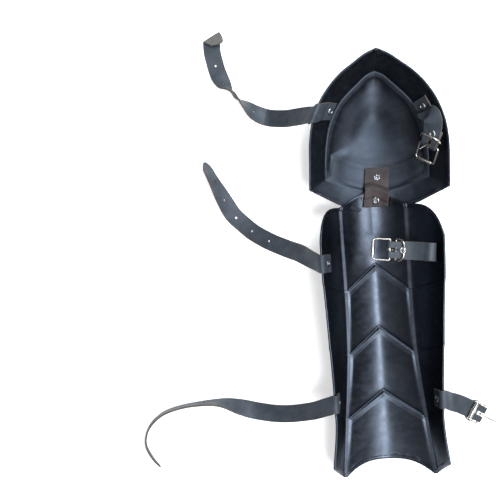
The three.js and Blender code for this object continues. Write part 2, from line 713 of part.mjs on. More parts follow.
function tongueStrap(strap) {
  const over = overRim(strap.seat);
  const start = over[2];
  const below = strap.rivet_at + strap.end;
  const fixed = [...wallStretch(strap.seat, below, hem_width + 1.5), ...over];
  const path = [...fixed.map((place) => ({ place, roll: 0 })), ...freeStretch(start, strap)];
  const stations = stationsAlong(path, strap.seat.edge, below + turn_start, below + turn_end, 6);
  for (const station of stations) {
    const left = station.length - station.along;
    if (left < tip_length) station.half *= 0.3 + 0.7 * Math.sin((left / tip_length) * (Math.PI / 2));
  }
  const fixing = strap.seat.wall(strap.rivet_at);
  const top = fixing.point.clone().addScaledVector(fixing.normal, seat_gap + leather);
  const stack = seat_gap + leather + steel + fixing.bend;
  const hole = rivet(`${strap.name}_strap_rivet`, top, fixing.normal, stack);
  const punches = Array.from({ length: hole_count }, (_, k) => {
    const along = stations[0].length - tip_length * 1.8 - k * hole_pitch;
    const i = Math.round((along / stations[0].length) * (stations.length - 1));
    const run = stations[i + 1].place.clone().sub(stations[i - 1].place).normalize();
    return drill(stations[i].place, run.cross(stations[i].side).normalize(), hole_radius, 6, 6);
  });
  return { body: cut(strip(stations), [hole, ...punches]), hole };
}

// Buckle straps: each ends in a fold round the buckle's bar, closed by a rivet, with the keeper ring's bar
// caught in the fold. rows are shares of reach (X), drift (Y) and rise (Z) from the rivet to the bar.
const BUCKLE_STRAPS = [
  {
    name: 'knee', seat: kneeSeat(4.95, knee_buckle_rivet), rivet_at: knee_buckle_rivet, along_edge: true,
    keeper_side: 1, reach: knee_buckle_reach, drift: -knee_buckle_drift, rise: knee_buckle_rise,
    rows: [
      { out: 0.3, drift: 0.2, up: 0.42, roll: 18 },
      { out: 0.75, drift: 0.3, up: 0.86, roll: 22 },
      { out: 1, drift: 0.46, up: 0.97, roll: 24 },
      { out: 0.95, drift: 0.66, up: 0.78, roll: 26 },
      { out: 0.6, drift: 0.85, up: 0.62, roll: 28 },
      { out: 0.2, drift: 1, up: 0.48, roll: 30 },
    ],
    frame_turn: -8, prong_turn: 78, keeper_turn: 60,
  },
  {
    name: 'upper', seat: shinSeat(1, -upper_buckle_down, upper_buckle_rivet), rivet_at: upper_buckle_rivet,
    keeper_side: 1, reach: -upper_buckle_reach, drift: upper_buckle_drift, rise: upper_buckle_rise,
    rows: [
      { out: -0.055, drift: 0, up: 1.55, roll: 0 },
      { out: -0.01, drift: 0.05, up: 2.35, roll: 0 },
      { out: 0.1, drift: 0.15, up: 2.5, roll: 0 },
      { out: 0.24, drift: 0.3, up: 1.95, roll: 0 },
      { out: 0.5, drift: 0.55, up: 1.35, roll: 0 },
      { out: 1, drift: 1, up: 1, roll: 0 },
    ],
    frame_turn: 0, prong_turn: 112, keeper_turn: 38,
  },
  {
    name: 'lower', seat: shinSeat(1, -lower_strap_down), rivet_at: lower_buckle_rivet, over_rim: true,
    keeper_side: -1, reach: lower_buckle_reach, drift: -lower_buckle_drift, rise: -lower_buckle_rise,
    rows: [
      { out: 0.18, drift: 0.1, up: -0.02, roll: 0 },
      { out: 0.42, drift: 0.3, up: 0.28, roll: 0 },
      { out: 1, drift: 1, up: 1, roll: 0 },
    ],
    frame_turn: 156, prong_turn: 4, keeper_turn: 38,
  },
];

const bar_radius = buckle_wire / 2;
const fold_radius = bar_radius + gap + leather / 2;

// The middle line of the fold in the buckle's own frame: X runs on from the strap, Y is its width, Z its outer
// side, with the bar at the origin.
function foldLine() {
  const line = [];
  for (let turn = 90; turn >= -90; turn -= 30) {
    line.push(vec(fold_radius * Math.cos(radians(turn)), 0, fold_radius * Math.sin(radians(turn))));
  }
  const close = fold_radius - leather - gap;
  line.push(vec(-keeper_back, 0, -fold_radius));
  line.push(vec(-fold_rivet_back * 0.78, 0, close), vec(-fold_return, 0, close));
  return line;
}

function buckleStrap(strap) {
  const fixing = strap.seat.wall(strap.rivet_at);
  const seat_lift = seat_gap + (strap.along_edge ? hem_fold + gap : 0);
  const anchor = fixing.point.clone().addScaledVector(fixing.normal, seat_lift + leather / 2);
  let fixed;
  let start = anchor;
  let edge = strap.seat.edge.clone();
  if (strap.along_edge) {
    const down = edge.clone().negate();
    fixed = [-1, -0.33, 0.67].map((share) => anchor.clone().addScaledVector(down, share * buckle_strap_end));
    edge = fixing.normal.clone().cross(edge).normalize();
    if (edge.x < 0) edge.negate();
  } else {
    const upper_end = strap.over_rim ? hem_width + 1.5 : strap.rivet_at - buckle_strap_start;
    fixed = wallStretch(strap.seat, strap.rivet_at + buckle_strap_end, upper_end);
    if (strap.over_rim) {
      const over = overRim(strap.seat);
      fixed.push(...over);
      start = over[2];
    }
  }
  const free = strap.rows.map(({ out, drift, up, roll }) => ({
    place: start.clone().add(vec(out * strap.reach, drift * strap.drift, up * strap.rise)), roll,
  }));
  const path = [...fixed.map((place) => ({ place, roll: 0 })), ...free];
  const held = strap.over_rim ? strap.rivet_at + strap_width : buckle_turn;
  const stations = stationsAlong(path, edge, held, held + buckle_turn, 4);
  const last = stations[stations.length - 1];
  const run = last.place.clone().sub(stations[stations.length - 2].place).normalize();
  const out = run.clone().cross(last.side).normalize();
  if (out.z < 0) out.negate();
  const across = out.clone().cross(run).normalize();
  const centre = last.place.clone().addScaledVector(out, -fold_radius);
  const turn = new THREE.Matrix4().makeBasis(run, across, out);
  const frame = turn.clone().setPosition(centre);
  const swap = last.side.dot(across) < 0 ? -1 : 1;
  const fold = foldLine().slice(1).map((p) => ({
    place: p.applyMatrix4(frame), side: across.clone().multiplyScalar(swap), half: strap_width / 2,
  }));
  const top = fixing.point.clone().addScaledVector(fixing.normal, seat_lift + leather);
  const stack = seat_lift + leather + steel + fixing.bend;
  const hole = rivet(`${strap.name}_buckle_strap_rivet`, top, fixing.normal, stack);
  const fold_height = fold_radius * 2 + leather;
  const slot = new THREE.BoxGeometry(slot_back + fold_height, prong_slot, fold_height + leather);
  slot.translate((fold_height - slot_back) / 2, 0, 0).applyMatrix4(frame);
  const pin = vec(-fold_rivet_back, 0, fold_radius + leather / 2).applyMatrix4(frame);
  const fold_hole = rivet(`${strap.name}_fold_rivet`, pin, out, leather * 2 + gap);
  return { body: cut(strip([...stations, ...fold]), [hole, slot, fold_hole]), hole, frame };
}

// Buckle hardware, in the buckle's own frame

function buckleFrame() {
  const length = buckle_length - buckle_wire;
  const half = (buckle_width - buckle_wire) / 2;
  const corners = [
    { x: bar_corner, y: -half + bar_corner, radius: bar_corner, start: 180 },
    { x: length - buckle_corner, y: -half + buckle_corner, radius: buckle_corner, start: 270 },
    { x: length - buckle_corner, y: half - buckle_corner, radius: buckle_corner, start: 0 },
    { x: bar_corner, y: half - bar_corner, radius: bar_corner, start: 90 },
  ];
  const points = corners.flatMap(({ x, y, radius, start }) => [0, 45, 90].map((turn) => vec(
    x + radius * Math.cos(radians(start + turn)), y + radius * Math.sin(radians(start + turn)), 0)));
  return wire(points, bar_radius, 6, vec(0, 0, 1), true);
}

function roller() {
  const half = roller_length / 2;
  const bore = bar_radius + gap;
  const profile = [[bore, -half], [roller_radius, -half], [roller_radius, half], [bore, half], [bore, -half]];
  return geometryFrom(solidOf(new THREE.LatheGeometry(profile.map(([r, z]) => new THREE.Vector2(r, z)), 12)));
}

function prong() {
  const radius = prong_wire / 2;
  const hook = bar_radius + gap + radius;
  const points = [];
  for (let turn = -50; turn > -260; turn -= 35) {
    points.push(vec(hook * Math.cos(radians(turn)), 0, hook * Math.sin(radians(turn))));
  }
  const rest = roller_radius + gap + radius;
  points.push(vec(0, 0, hook), vec(buckle_length * 0.3, 0, mix(hook, rest, 0.9)));
  points.push(vec(buckle_length * 0.7, 0, rest), vec(buckle_length + 0.6, 0, rest - gap));
  return wire(points, radius, 6, vec(0, 1, 0));
}

function keeper() {
  const radius = keeper_wire / 2;
  const half = keeper_width / 2 - radius;
  const depth = keeper_reach - radius * 2;
  const points = [-half + 2, 0, half - 2].map((y) => vec(0, y, 0));
  points.push(vec(-0.6, half - 0.5, 0), vec(-2, half, 0));
  for (let turn = 15; turn <= 165; turn += 25) {
    const [deep, wide] = [Math.sin(radians(turn)), Math.cos(radians(turn))];
    points.push(vec(-2 - (depth - 2) * deep ** 0.8, half * Math.sign(wide) * Math.abs(wide) ** 0.6, 0));
  }
  points.push(vec(-2, -half, 0), vec(-0.6, -half + 0.5, 0));
  return wire(points, radius, 6, vec(0, 0, 1), true);
}

// The height of the knee's hollow side near the tab, between its lower ridge and its dome.
function kneeBand(x, y) {
  const local = vec(x, y, 0).sub(knee_bottom).applyAxisAngle(vec(0, 0, 1), -radians(knee_swivel));
  const out = (Math.abs(local.x) * 2) / knee_width;
  let [near, far] = [KNEE_LINES.length - 1, knee_corner_row];
  for (let i = 0; i < 20; i += 1) {
    const place = (near + far) / 2;
    if (kneeLine('field', place).out < out) near = place;
    else far = place;
  }
  const [field, foot] = [kneeLine('field', near), kneeLine('foot', near)];
  const share = (local.y / knee_height - field.up) / (foot.up - field.up);
  return mix(field.in, foot.in, THREE.MathUtils.clamp(share, -0.2, 1)) * knee_depth;
}

// Knee tab: leather from the knee's band up over the shin's top hem, riveted to both. across runs -1 to 1.
function tabPlace(along, across) {
  const y = mix(tab_above, -tab_below, along);
  const x = tab_shift - tab_lean * along + (across * tab_width) / 2;
  const lane = shinLane(x, Math.min(y, 0));
  const past_edge = shinLine(0, lane) - y;
  const hem = hem_fold * (1 - THREE.MathUtils.smoothstep(past_edge, hem_width + 2, hem_width + 5));
  const on_shin = shinPlain(lane, Math.min(y, 0)).z + hem;
  const over = THREE.MathUtils.smoothstep(past_edge, -9, -1.5);
  return vec(x, y, mix(kneeBand(x, y), on_shin, over) + seat_gap + gap);
}

function kneeTab() {
  const rows = [0, 0.14, 0.3, 0.42, 0.5, 0.58, 0.66, 0.74, 0.87, 1];
  const columns = [-1, -0.6, -0.2, 0.2, 0.6, 1];
  const grid = rows.map((along) => columns.map((across) => ({
    point: tabPlace(along, across), shift: leather, fold: 0,
  })));
  const pins = [
    { name: 'tab_rivet_knee', along: 0.26, outside: true },
    { name: 'tab_rivet_shin', along: 0.83, outside: false },
  ].map(({ name, along, outside }) => {
    const across = tabPlace(along, 0.25).sub(tabPlace(along, -0.25));
    const down = tabPlace(along - 0.08, 0).sub(tabPlace(along + 0.08, 0));
    const normal = across.cross(down).normalize();
    const top = tabPlace(along, 0).addScaledVector(normal, leather + gap);
    return rivet(name, top, normal, leather + seat_gap + gap * 2 + steel, outside);
  });
  return { body: cut(plate(grid, false, leather), pins), pins };
}

// Materials

const finish = (color, roughness, metalness) => new THREE.MeshStandardMaterial({ color, roughness, metalness });
const black_steel = finish(0x15171c, 0.42, 0.7);
const black_leather = finish(0x2a2b2f, 0.7, 0);
const brown_leather = finish(0x6a5648, 0.75, 0);
const nickel = finish(0xd8d4c8, 0.25, 1);
const rivet_metal = finish(0x8e9196, 0.35, 1);

// Assembly

const greave = new THREE.Group();

function add(name, geometry, material, parent = greave) {
  const mesh = new THREE.Mesh(geometry, material);
  mesh.name = name;
  parent.add(mesh);
  return mesh;
}

const tab = kneeTab();
const tongues = TONGUE_STRAPS.map((strap) => ({ strap, ...tongueStrap(strap) }));
const buckles = BUCKLE_STRAPS.map((strap) => ({ strap, ...buckleStrap(strap) }));
const on_knee = [...tongues, ...buckles].filter(({ strap }) => strap.name === 'knee').map(({ hole }) => hole);
const on_shin = [...tongues, ...buckles].filter(({ strap }) => strap.name !== 'knee').map(({ hole }) => hole);

add('shin_plate', shinPlate([...on_shin, tab.pins[1]]), black_steel);
add('knee_plate', kneePlate([...on_knee, tab.pins[0]]), black_steel);
add('knee_tab', tab.body, brown_leather);
for (const { strap, body } of tongues) add(`${strap.name}_tongue_strap`, body, black_leather);

// The bar is the origin of each buckle's group. The frame, the prong and the keeper ring turn about its Y.
for (const { strap, body, frame } of buckles) {
  add(`${strap.name}_buckle_strap`, body, black_leather);
  const buckle = new THREE.Group();
  buckle.applyMatrix4(frame);
  greave.add(buckle);
  const ring = add(`${strap.name}_buckle_frame`, buckleFrame(), nickel, buckle);
  ring.rotation.y = -radians(strap.frame_turn);
  const far_bar = add(`${strap.name}_buckle_roller`, roller(), nickel, ring);
  far_bar.position.x = buckle_length - buckle_wire;
  add(`${strap.name}_buckle_prong`, prong(), nickel, buckle).rotation.y = -radians(strap.prong_turn);
  const loop = add(`${strap.name}_keeper_ring`, keeper(), nickel, buckle);
  loop.position.x = -keeper_back;
  loop.rotation.y = radians(strap.keeper_turn * strap.keeper_side);
}
for (const { name, geometry, point, turn } of rivets) {
  const mesh = add(name, geometry, rivet_metal);
  mesh.position.copy(point);
  mesh.quaternion.copy(turn);
}

// The origin is the middle of the bottom of the box that holds the whole greave.
const box = new THREE.Box3().setFromObject(greave);
const middle = box.getCenter(vec(0, 0, 0));
greave.position.set(-middle.x, -middle.y, -box.min.z);
greave.updateMatrixWorld(true);

export default greave;
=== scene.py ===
import json
import math

import bmesh
import bpy
import numpy as np
from mathutils import Matrix, Vector


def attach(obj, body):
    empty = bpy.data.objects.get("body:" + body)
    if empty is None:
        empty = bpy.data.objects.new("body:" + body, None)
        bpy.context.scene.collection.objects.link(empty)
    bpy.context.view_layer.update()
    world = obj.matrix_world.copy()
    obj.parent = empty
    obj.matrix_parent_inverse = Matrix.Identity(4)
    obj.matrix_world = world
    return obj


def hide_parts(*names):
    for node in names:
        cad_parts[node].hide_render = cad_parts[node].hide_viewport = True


# A black steel greave with its knee plate, lying on its front with the hollow side up. Metres, +Z up.
# Each piece is built finer on the sizes of the plain solid that it stands for.
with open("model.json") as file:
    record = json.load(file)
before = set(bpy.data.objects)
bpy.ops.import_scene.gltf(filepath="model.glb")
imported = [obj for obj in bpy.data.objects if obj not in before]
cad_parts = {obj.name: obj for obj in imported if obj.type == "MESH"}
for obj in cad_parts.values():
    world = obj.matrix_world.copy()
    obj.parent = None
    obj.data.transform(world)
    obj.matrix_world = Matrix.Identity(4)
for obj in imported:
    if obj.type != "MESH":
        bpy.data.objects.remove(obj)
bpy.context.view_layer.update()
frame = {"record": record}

MM = 0.001
ACROSS, ALONG, UP = 0, 1, 2

# Steel plates
STEEL = 1.2 * MM
HEM_FOLD = 1.4 * MM
HEM_WIDTH = 4 * MM
SHIN_LENGTH = 314 * MM
SHIN_WIDTH = 134 * MM
SHIN_DEPTH = 58 * MM
WALL_REACH = SHIN_DEPTH * 1.1
SHIN_LIFT = 15 * MM
RIM_SHIFT = -1.5 * MM
KEEL_SHIFT = -5 * MM
PANEL_WIDTH = 97 * MM
PANEL_DEPTH = 12.5 * MM
CREASE_WIDTH = 4 * MM
CREASE_RISE = 1 * MM
LAME_STEP = 1.7 * MM
LAME_RUN = 1.6 * MM
CHEVRON_DROP = 29 * MM
SIDE_RISE = 12 * MM
STRIP_DROP = 2 * MM
TOP_PEAK = 17 * MM
TOP_CORNER = 38 * MM
ANKLE_ARCH = 16 * MM
ANKLE_FLARE = 18 * MM
KNEE_WIDTH = 157 * MM
KNEE_HEIGHT = 185 * MM
KNEE_DEPTH = 48 * MM
KNEE_OVERLAP = 29 * MM
KNEE_SHIFT = 1.6 * MM
KNEE_SWIVEL = math.radians(-1.5)
KNEE_MARGIN = 22 * MM
KNEE_CENTRE = 0.56
KNEE_CORNER_ROW = 9

# Leather and hardware
LEATHER = 2 * MM
STRAP_WIDTH = 20 * MM
TIP_LENGTH = 14 * MM
HOLE_RADIUS = 1.4 * MM
HOLE_PITCH = 25 * MM
HOLE_COUNT = 5
HOLE_START = TIP_LENGTH * 1.8
TIP_BLUNT = 0.12
HEM_CLEAR = 1.5 * MM
HEM_NEAR = 2 * MM
HEM_FAR = 5 * MM
GAP = 0.3 * MM
SEAT_GAP = 0.6 * MM
OVERLAP_GAP = 1.2 * MM
RIM_CLEARANCE = 0.9 * MM
TAB_WIDTH = 28 * MM
TAB_ABOVE = 26 * MM
TAB_BELOW = 20 * MM
TAB_SHIFT = 5 * MM
TAB_LEAN = 5.5 * MM
RIVET_RADIUS = 4.2 * MM
RIVET_HEIGHT = 1 * MM
SHANK_RADIUS = 1.7 * MM
BUCKLE_WIRE = 2.2 * MM
BUCKLE_WIDTH = 25.4 * MM
BUCKLE_LENGTH = 21 * MM
BUCKLE_CORNER = 3.2 * MM
BAR_CORNER = 1.3 * MM
ROLLER_RADIUS = 2.15 * MM
ROLLER_LENGTH = 17.5 * MM
PRONG_WIRE = 1.7 * MM
PRONG_SLOT = 4.4 * MM
SLOT_BACK = 8 * MM
KEEPER_WIRE = 2 * MM
KEEPER_WIDTH = 26 * MM
KEEPER_REACH = 13 * MM
KEEPER_BACK = 6.5 * MM
FOLD_RIVET_BACK = 14 * MM
FOLD_RETURN = 19 * MM
HEM_SLOPE = 0.2 * MM
BAR_RADIUS = BUCKLE_WIRE / 2
FOLD_RADIUS = BAR_RADIUS + GAP + LEATHER / 2

# Where the straps are riveted: how far down the shin, how far in from the rim, and how far a buckle strap
# reaches past its rivet either way
LOWER_STRAP_DOWN = 238 * MM
SEAT_DEPTH = 9 * MM
KNEE_STRAP_SLANT = 0.0375
KNEE_BUCKLE_RIVET = 13.5 * MM
UPPER_BUCKLE_RIVET = 27 * MM
BUCKLE_STRAP_END = 9 * MM
BUCKLE_STRAP_START = 7 * MM

# How far along a strap its width turns from the wall's edge to its own
TURN_START = 12 * MM
TURN_END = 50 * MM
BUCKLE_TURN = 16 * MM
# How much narrower half a strap is at its buckle's bar, and how long the drill through a rivet's stack is
BAR_NARROWING = 0.9 * MM
STACK_DRILL = 16 * MM

# Fineness of the meshes
STRAP_STEP = 0.8 * MM
WELD = 1e-6
RIPPLES = 7
WIRE_SIDES = 20
ROUND_SIDES = 48
HEM_SPOTS = np.array([0, 0.08, 0.3, 0.7, 1.3, 2.2, 3.2, 3.92, 4.06, 4.2, 4.6]) * MM

# Chevron steps, as shares of the shin's length from its top
CHEVRONS = [0.273, 0.506, 0.744]

BOTTOM = len(CHEVRONS) + 1

# Sections of the shin, as shares of its length, width, depth, panel width and lift
SHIN_SECTIONS = [
    {"along": 0, "width": 1, "depth": 0.97, "panel": 0.72, "lift": 1},
    {"along": 0.17, "width": 1, "depth": 1, "panel": 0.72, "lift": 0.68},
    {"along": 0.31, "width": 0.99, "depth": 1, "panel": 0.715, "lift": 0.46},
    {"along": 0.45, "width": 0.955, "depth": 0.965, "panel": 0.72, "lift": 0.29},
    {"along": 0.59, "width": 0.925, "depth": 0.925, "panel": 0.745, "lift": 0.17},
    {"along": 0.71, "width": 0.9, "depth": 0.86, "panel": 0.81, "lift": 0.09},
    {"along": 0.85, "width": 0.893, "depth": 0.81, "panel": 0.9, "lift": 0.03},
    {"along": 1, "width": 0.965, "depth": 0.775, "panel": 1, "lift": 0},
    {"along": 1.06, "width": 1, "depth": 0.765, "panel": 1.03, "lift": 0},
]

# Half of the knee plate from its apex round to its lowest point, as shares of the half width, the height and
# the depth: its rim, the raised strip's outer and inner lines, and the line where the dome starts.
KNEE_COLUMNS = ("out", "up", "in")
KNEE_LINES = {
    "rim": [
        (0, 1, 0.96), (0.17, 0.966, 0.965), (0.345, 0.913, 0.97), (0.51, 0.859, 0.98), (0.665, 0.789, 1),
        (0.82, 0.692, 1), (0.935, 0.568, 1), (0.985, 0.44, 0.99), (0.993, 0.3, 0.96), (1, 0.155, 0.84),
        (0.6, 0.072, 0.52), (0.29, 0.022, 0.3), (0, 0, 0.27),
    ],
    "ledge": [
        (0, 0.885, 0.5), (0.125, 0.86, 0.5), (0.26, 0.808, 0.5), (0.4, 0.752, 0.5), (0.515, 0.696, 0.5),
        (0.615, 0.622, 0.5), (0.69, 0.535, 0.5), (0.735, 0.42, 0.49), (0.75, 0.31, 0.48), (0.75, 0.225, 0.46),
        (0.47, 0.185, 0.33), (0.235, 0.155, 0.275), (0, 0.142, 0.26),
    ],
    "field": [
        (0, 0.853, 0.49), (0.1, 0.832, 0.49), (0.215, 0.784, 0.49), (0.345, 0.732, 0.49), (0.455, 0.68, 0.49),
        (0.545, 0.608, 0.49), (0.617, 0.525, 0.49), (0.66, 0.418, 0.48), (0.675, 0.315, 0.46),
        (0.675, 0.243, 0.43), (0.44, 0.2, 0.29), (0.22, 0.172, 0.235), (0, 0.159, 0.22),
    ],
    "foot": [
        (0, 0.843, 0.45), (0.09, 0.823, 0.45), (0.2, 0.776, 0.45), (0.33, 0.726, 0.45), (0.44, 0.675, 0.45),
        (0.528, 0.603, 0.45), (0.6, 0.522, 0.45), (0.643, 0.42, 0.43), (0.65, 0.385, 0.41),
        (0.62, 0.368, 0.36), (0.42, 0.33, 0.22), (0.21, 0.305, 0.14), (0, 0.295, 0.11),
    ],
}


def unit(v):
    return v / np.linalg.norm(v, axis=-1, keepdims=True)


def mix(a, b, share):
    return a + (b - a) * share


def smooth(low, high, at):
    t = np.clip((at - low) / (high - low), 0, 1)
    return t * t * (3 - 2 * t)


def facing(v, axis):
    """v, turned round where it points against one of the axes."""
    return v * np.where(v[..., axis:axis + 1] < 0, -1, 1)


def vec(x, y, z):
    return np.stack(np.broadcast_arrays(np.asarray(x, float), y, z), axis=-1)


def turned(v, axis, angle):
    """v turned about a unit axis."""
    angle = np.asarray(angle)[..., None]
    along = (v * axis).sum(-1, keepdims=True) * axis
    return along + (v - along) * np.cos(angle) + np.cross(axis, v) * np.sin(angle)


def ripple(x, y, seed, wave):
    """Gentle unevenness, mostly between -1 and 1, with bumps about one wave apart."""
    chance = np.random.default_rng(seed)
    total = 0
    for _ in range(RIPPLES):
        heading = chance.uniform(0, 2 * math.pi)
        pace = 2 * math.pi / (wave * chance.uniform(0.7, 1.8))
        at = x * math.cos(heading) + y * math.sin(heading)
        total = total + np.sin(at * pace + chance.uniform(0, 6.3))
    return total / (RIPPLES / 2)


def read(table, column, at):
    """A smooth reading of one column of a table whose rows are placed by their along."""
    along = np.array([row["along"] for row in table], float)
    value = np.array([row[column] for row in table], float)
    before = np.r_[0, np.arange(len(table) - 1)]
    after = np.r_[np.arange(1, len(table)), len(table) - 1]
    slope = (value[after] - value[before]) / (along[after] - along[before])
    i = np.searchsorted(along[1:-1], at)
    span = along[i + 1] - along[i]
    t = (at - along[i]) / span
    t2, t3 = t * t, t * t * t
    return ((2 * t3 - 3 * t2 + 1) * value[i] + (t3 - 2 * t2 + t) * slope[i] * span
            + (3 * t2 - 2 * t3) * value[i + 1] + (t3 - t2) * slope[i + 1] * span)


# Shin surface

LANE_PROBE = 0.02
PROBE = 0.5 * MM


def shin_plain(lane, y, keel_round=0.0):
    """A place on the hollow side without lames.

    lane is 0 at the keel, 1 and 2 at the crease's two lines and 3 at the rim, and negative on the left.
    """
    share = -y / SHIN_LENGTH
    side = np.sign(lane)
    a = np.abs(lane)
    keel = SHIN_LIFT * read(SHIN_SECTIONS, "lift", share) + STEEL
    half = PANEL_WIDTH * read(SHIN_SECTIONS, "panel", share) / 2
    panel = np.minimum(a, 1)
    strip = np.clip(a - 1, 0, 1)
    wall = np.clip(a - 2, 0, None)
    soft = (np.sqrt(panel ** 2 + keel_round ** 2) - keel_round) / (np.sqrt(1 + keel_round ** 2) - keel_round)
    x = KEEL_SHIFT * (1 - share) + side * (half * panel + CREASE_WIDTH * strip)
    z = keel + PANEL_DEPTH * (0.45 * soft + 0.55 * panel ** 2) + CREASE_RISE * strip
    rim_x = RIM_SHIFT + side * SHIN_WIDTH * read(SHIN_SECTIONS, "width", share) / 2
    rim_z = keel + SHIN_DEPTH * read(SHIN_SECTIONS, "depth", share)
    turn = wall * math.pi / 2
    x = mix(x, rim_x, 0.5 * np.sin(turn) + 0.5 * wall)
    z = mix(z, rim_z, 0.5 * (1 - np.cos(turn)) + 0.5 * wall)
    return vec(x, y, z)


def shin_line(line, lane):
    """Y of a line across the shin: 0 is its top edge, then its chevrons, and last its bottom edge."""
    a = np.abs(lane)
    panel = np.minimum(a, 1)
    wall = np.maximum(a - 2, 0)
    if line == 0:
        return -TOP_PEAK * panel ** 1.3 - STRIP_DROP * np.clip(a - 1, 0, 1) - TOP_CORNER * wall ** 3
    if line <= len(CHEVRONS):
        return -SHIN_LENGTH * CHEVRONS[line - 1] - CHEVRON_DROP * panel + SIDE_RISE * wall
    return -SHIN_LENGTH - ANKLE_ARCH * panel ** 3 + ANKLE_FLARE * wall


def lame_shift(lane, y):
    """How far the lame that holds a place stands proud there."""
    shift = np.zeros(np.broadcast(lane, y).shape)
    for line in range(1, len(CHEVRONS) + 1):
        top, bottom = shin_line(line, lane), shin_line(line + 1, lane)
        inside = y < top - LAME_RUN / 2
        shift = np.where(inside, LAME_STEP * np.clip((y - bottom) / (top - bottom), 0, 1), shift)
    return shift


def shin_place(lane, y):
    """A place and its normal on the hollow side, lames included."""
    across = shin_plain(lane + LANE_PROBE, y) - shin_plain(lane - LANE_PROBE, y)
    along = shin_plain(lane, y + PROBE) - shin_plain(lane, y - PROBE)
    normal = facing(unit(np.cross(across, along)), UP)
    return shin_plain(lane, y) + normal * lame_shift(lane, y)[..., None], normal


def shin_lane(x, y):
    """The lane of the shin at a place, by halving."""
    low = np.where(x < KEEL_SHIFT, -3.0, 0.0)
    high = np.where(x < KEEL_SHIFT, 0.0, 3.0)
    for _ in range(24):
        lane = (low + high) / 2
        left = shin_plain(lane, y)[..., 0] < x
        low, high = np.where(left, lane, low), np.where(left, high, lane)
    return low


# Knee surface

SHIN_TOP = -1 * MM
OVERLAP_FAR = 9 * MM
OVERLAP_NEAR = 3 * MM
OVERLAP_EASE = 5 * MM


def knee_place(out, up, deep):
    point = vec(out * KNEE_WIDTH / 2, up * KNEE_HEIGHT, deep * KNEE_DEPTH)
    return turned(point, np.array([0.0, 0, 1]), KNEE_SWIVEL) + np.array([KNEE_SHIFT, -KNEE_OVERLAP, 0])


def knee_line(name, place, pointed=False):
    """Shares of a line at places round the knee: 0 is the apex, 12 the lowest point, negative on the left.

    A curve goes through the rows. It is straight into the corner, and the rim is straight past it too.
    """
    rows = KNEE_LINES[name]
    last = len(rows) - 1
    a = np.minimum(np.abs(place), last)
    i = np.minimum(a.astype(int), last - 1)
    t = a - i
    found = {}
    for k, column in enumerate(KNEE_COLUMNS):
        value = np.array([row[k] for row in rows], float)
        before = value[np.abs(i - 1)] * (np.where(i < 1, -1, 1) if column == "out" else 1)
        start, end, after = value[i], value[i + 1], value[np.minimum(i + 2, last)]
        if pointed:
            before = np.where(i < 1, 2 * start - end, before)
        bend = 2 * before - 5 * start + 4 * end - after + t * (3 * (start - end) + after - before)
        curve = start + 0.5 * t * (end - before + t * bend)
        straight = i >= KNEE_CORNER_ROW - 1
        if name != "rim":
            start_slope = np.where(i == KNEE_CORNER_ROW, end - start, (end - before) / 2)
            end_slope = np.where(i == last - 1, 0 if column != "out" else end - start, (after - start) / 2)
            curve_low = (start * (1 + t * t * (2 * t - 3)) + end * t * t * (3 - 2 * t)
                         + start_slope * t * (1 - t) ** 2 - end_slope * t * t * (1 - t))
            curve = np.where(i >= KNEE_CORNER_ROW, curve_low, curve)
            straight = i == KNEE_CORNER_ROW - 1
        found[column] = np.where(straight, mix(start, end, t), curve)
    found["out"] = found["out"] * np.where(place < 0, -1, 1)
    return found


def under_shin(point, extra):
    """The knee's lower margin stays below the front of the shin plate."""
    x, y, z = point[..., ACROSS], point[..., ALONG], point[..., UP]
    level = np.minimum(y, SHIN_TOP)
    ceiling = shin_plain(shin_lane(x, level), level)[..., UP] - STEEL - OVERLAP_GAP - extra
    near = smooth(OVERLAP_FAR, OVERLAP_NEAR, y) * (np.abs(x) < SHIN_WIDTH * 0.42)
    return vec(x, y, np.where(near > 0, np.minimum(z, mix(z + OVERLAP_EASE, ceiling, near)), z))


def knee_between(outer, inner, share, extra=0.0):
    return under_shin(knee_place(*(mix(outer[c], inner[c], share) for c in KNEE_COLUMNS)), extra)


def knee_margin(place, share):
    """A place and its normal on the knee's margin, share 0 at the rim and 1 at the raised strip."""
    def at(p, s):
        p = np.asarray(p, float)
        return knee_between(knee_line("rim", p), knee_line("ledge", p), s)
    along = at(place + 0.1, share) - at(place - 0.1, share)
    down = at(place, share + 0.1) - at(place, share - 0.1)
    return at(place, share), facing(unit(np.cross(along, down)), UP)


# The model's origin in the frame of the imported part, from the mount at the middle of the knee's dome
rest_mount = next(m for m in frame["record"]["mounts"] if m["name"] == "rest_face")
ORIGIN = np.array(rest_mount["pos_m"]) - knee_place(0, KNEE_CENTRE, 0)


# Meshes

BODY = "greave"
SHARP_ANGLE = math.radians(40)
STEEL_SHARP = math.radians(50)


def add_piece(name, points, faces, materials, node, face_slots=None, body=BODY, sharp=SHARP_ANGLE):
    """A new piece from points in the model's frame. It rides on a body and stands for a node."""
    mesh = bpy.data.meshes.new(name)
    places = [tuple(p) for p in np.asarray(points) + ORIGIN]
    mesh.from_pydata(places, [], [tuple(int(i) for i in f) for f in faces])
    for material in materials:
        mesh.materials.append(material)
    if face_slots is not None:
        mesh.polygons.foreach_set("material_index", np.asarray(face_slots, np.int32))
    work = bmesh.new()
    work.from_mesh(mesh)
    bmesh.ops.remove_doubles(work, verts=work.verts, dist=WELD)
    bmesh.ops.dissolve_degenerate(work, edges=work.edges, dist=WELD)
    if work.calc_volume(signed=True) < 0:
        bmesh.ops.reverse_faces(work, faces=work.faces)
    work.to_mesh(mesh)
    work.free()
    mesh.polygons.foreach_set("use_smooth", np.ones(len(mesh.polygons), bool))
    mesh.set_sharp_from_angle(angle=sharp)
    piece = bpy.data.objects.new(name, mesh)
    bpy.context.scene.collection.objects.link(piece)
    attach(piece, body)
    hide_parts(node)
    return piece


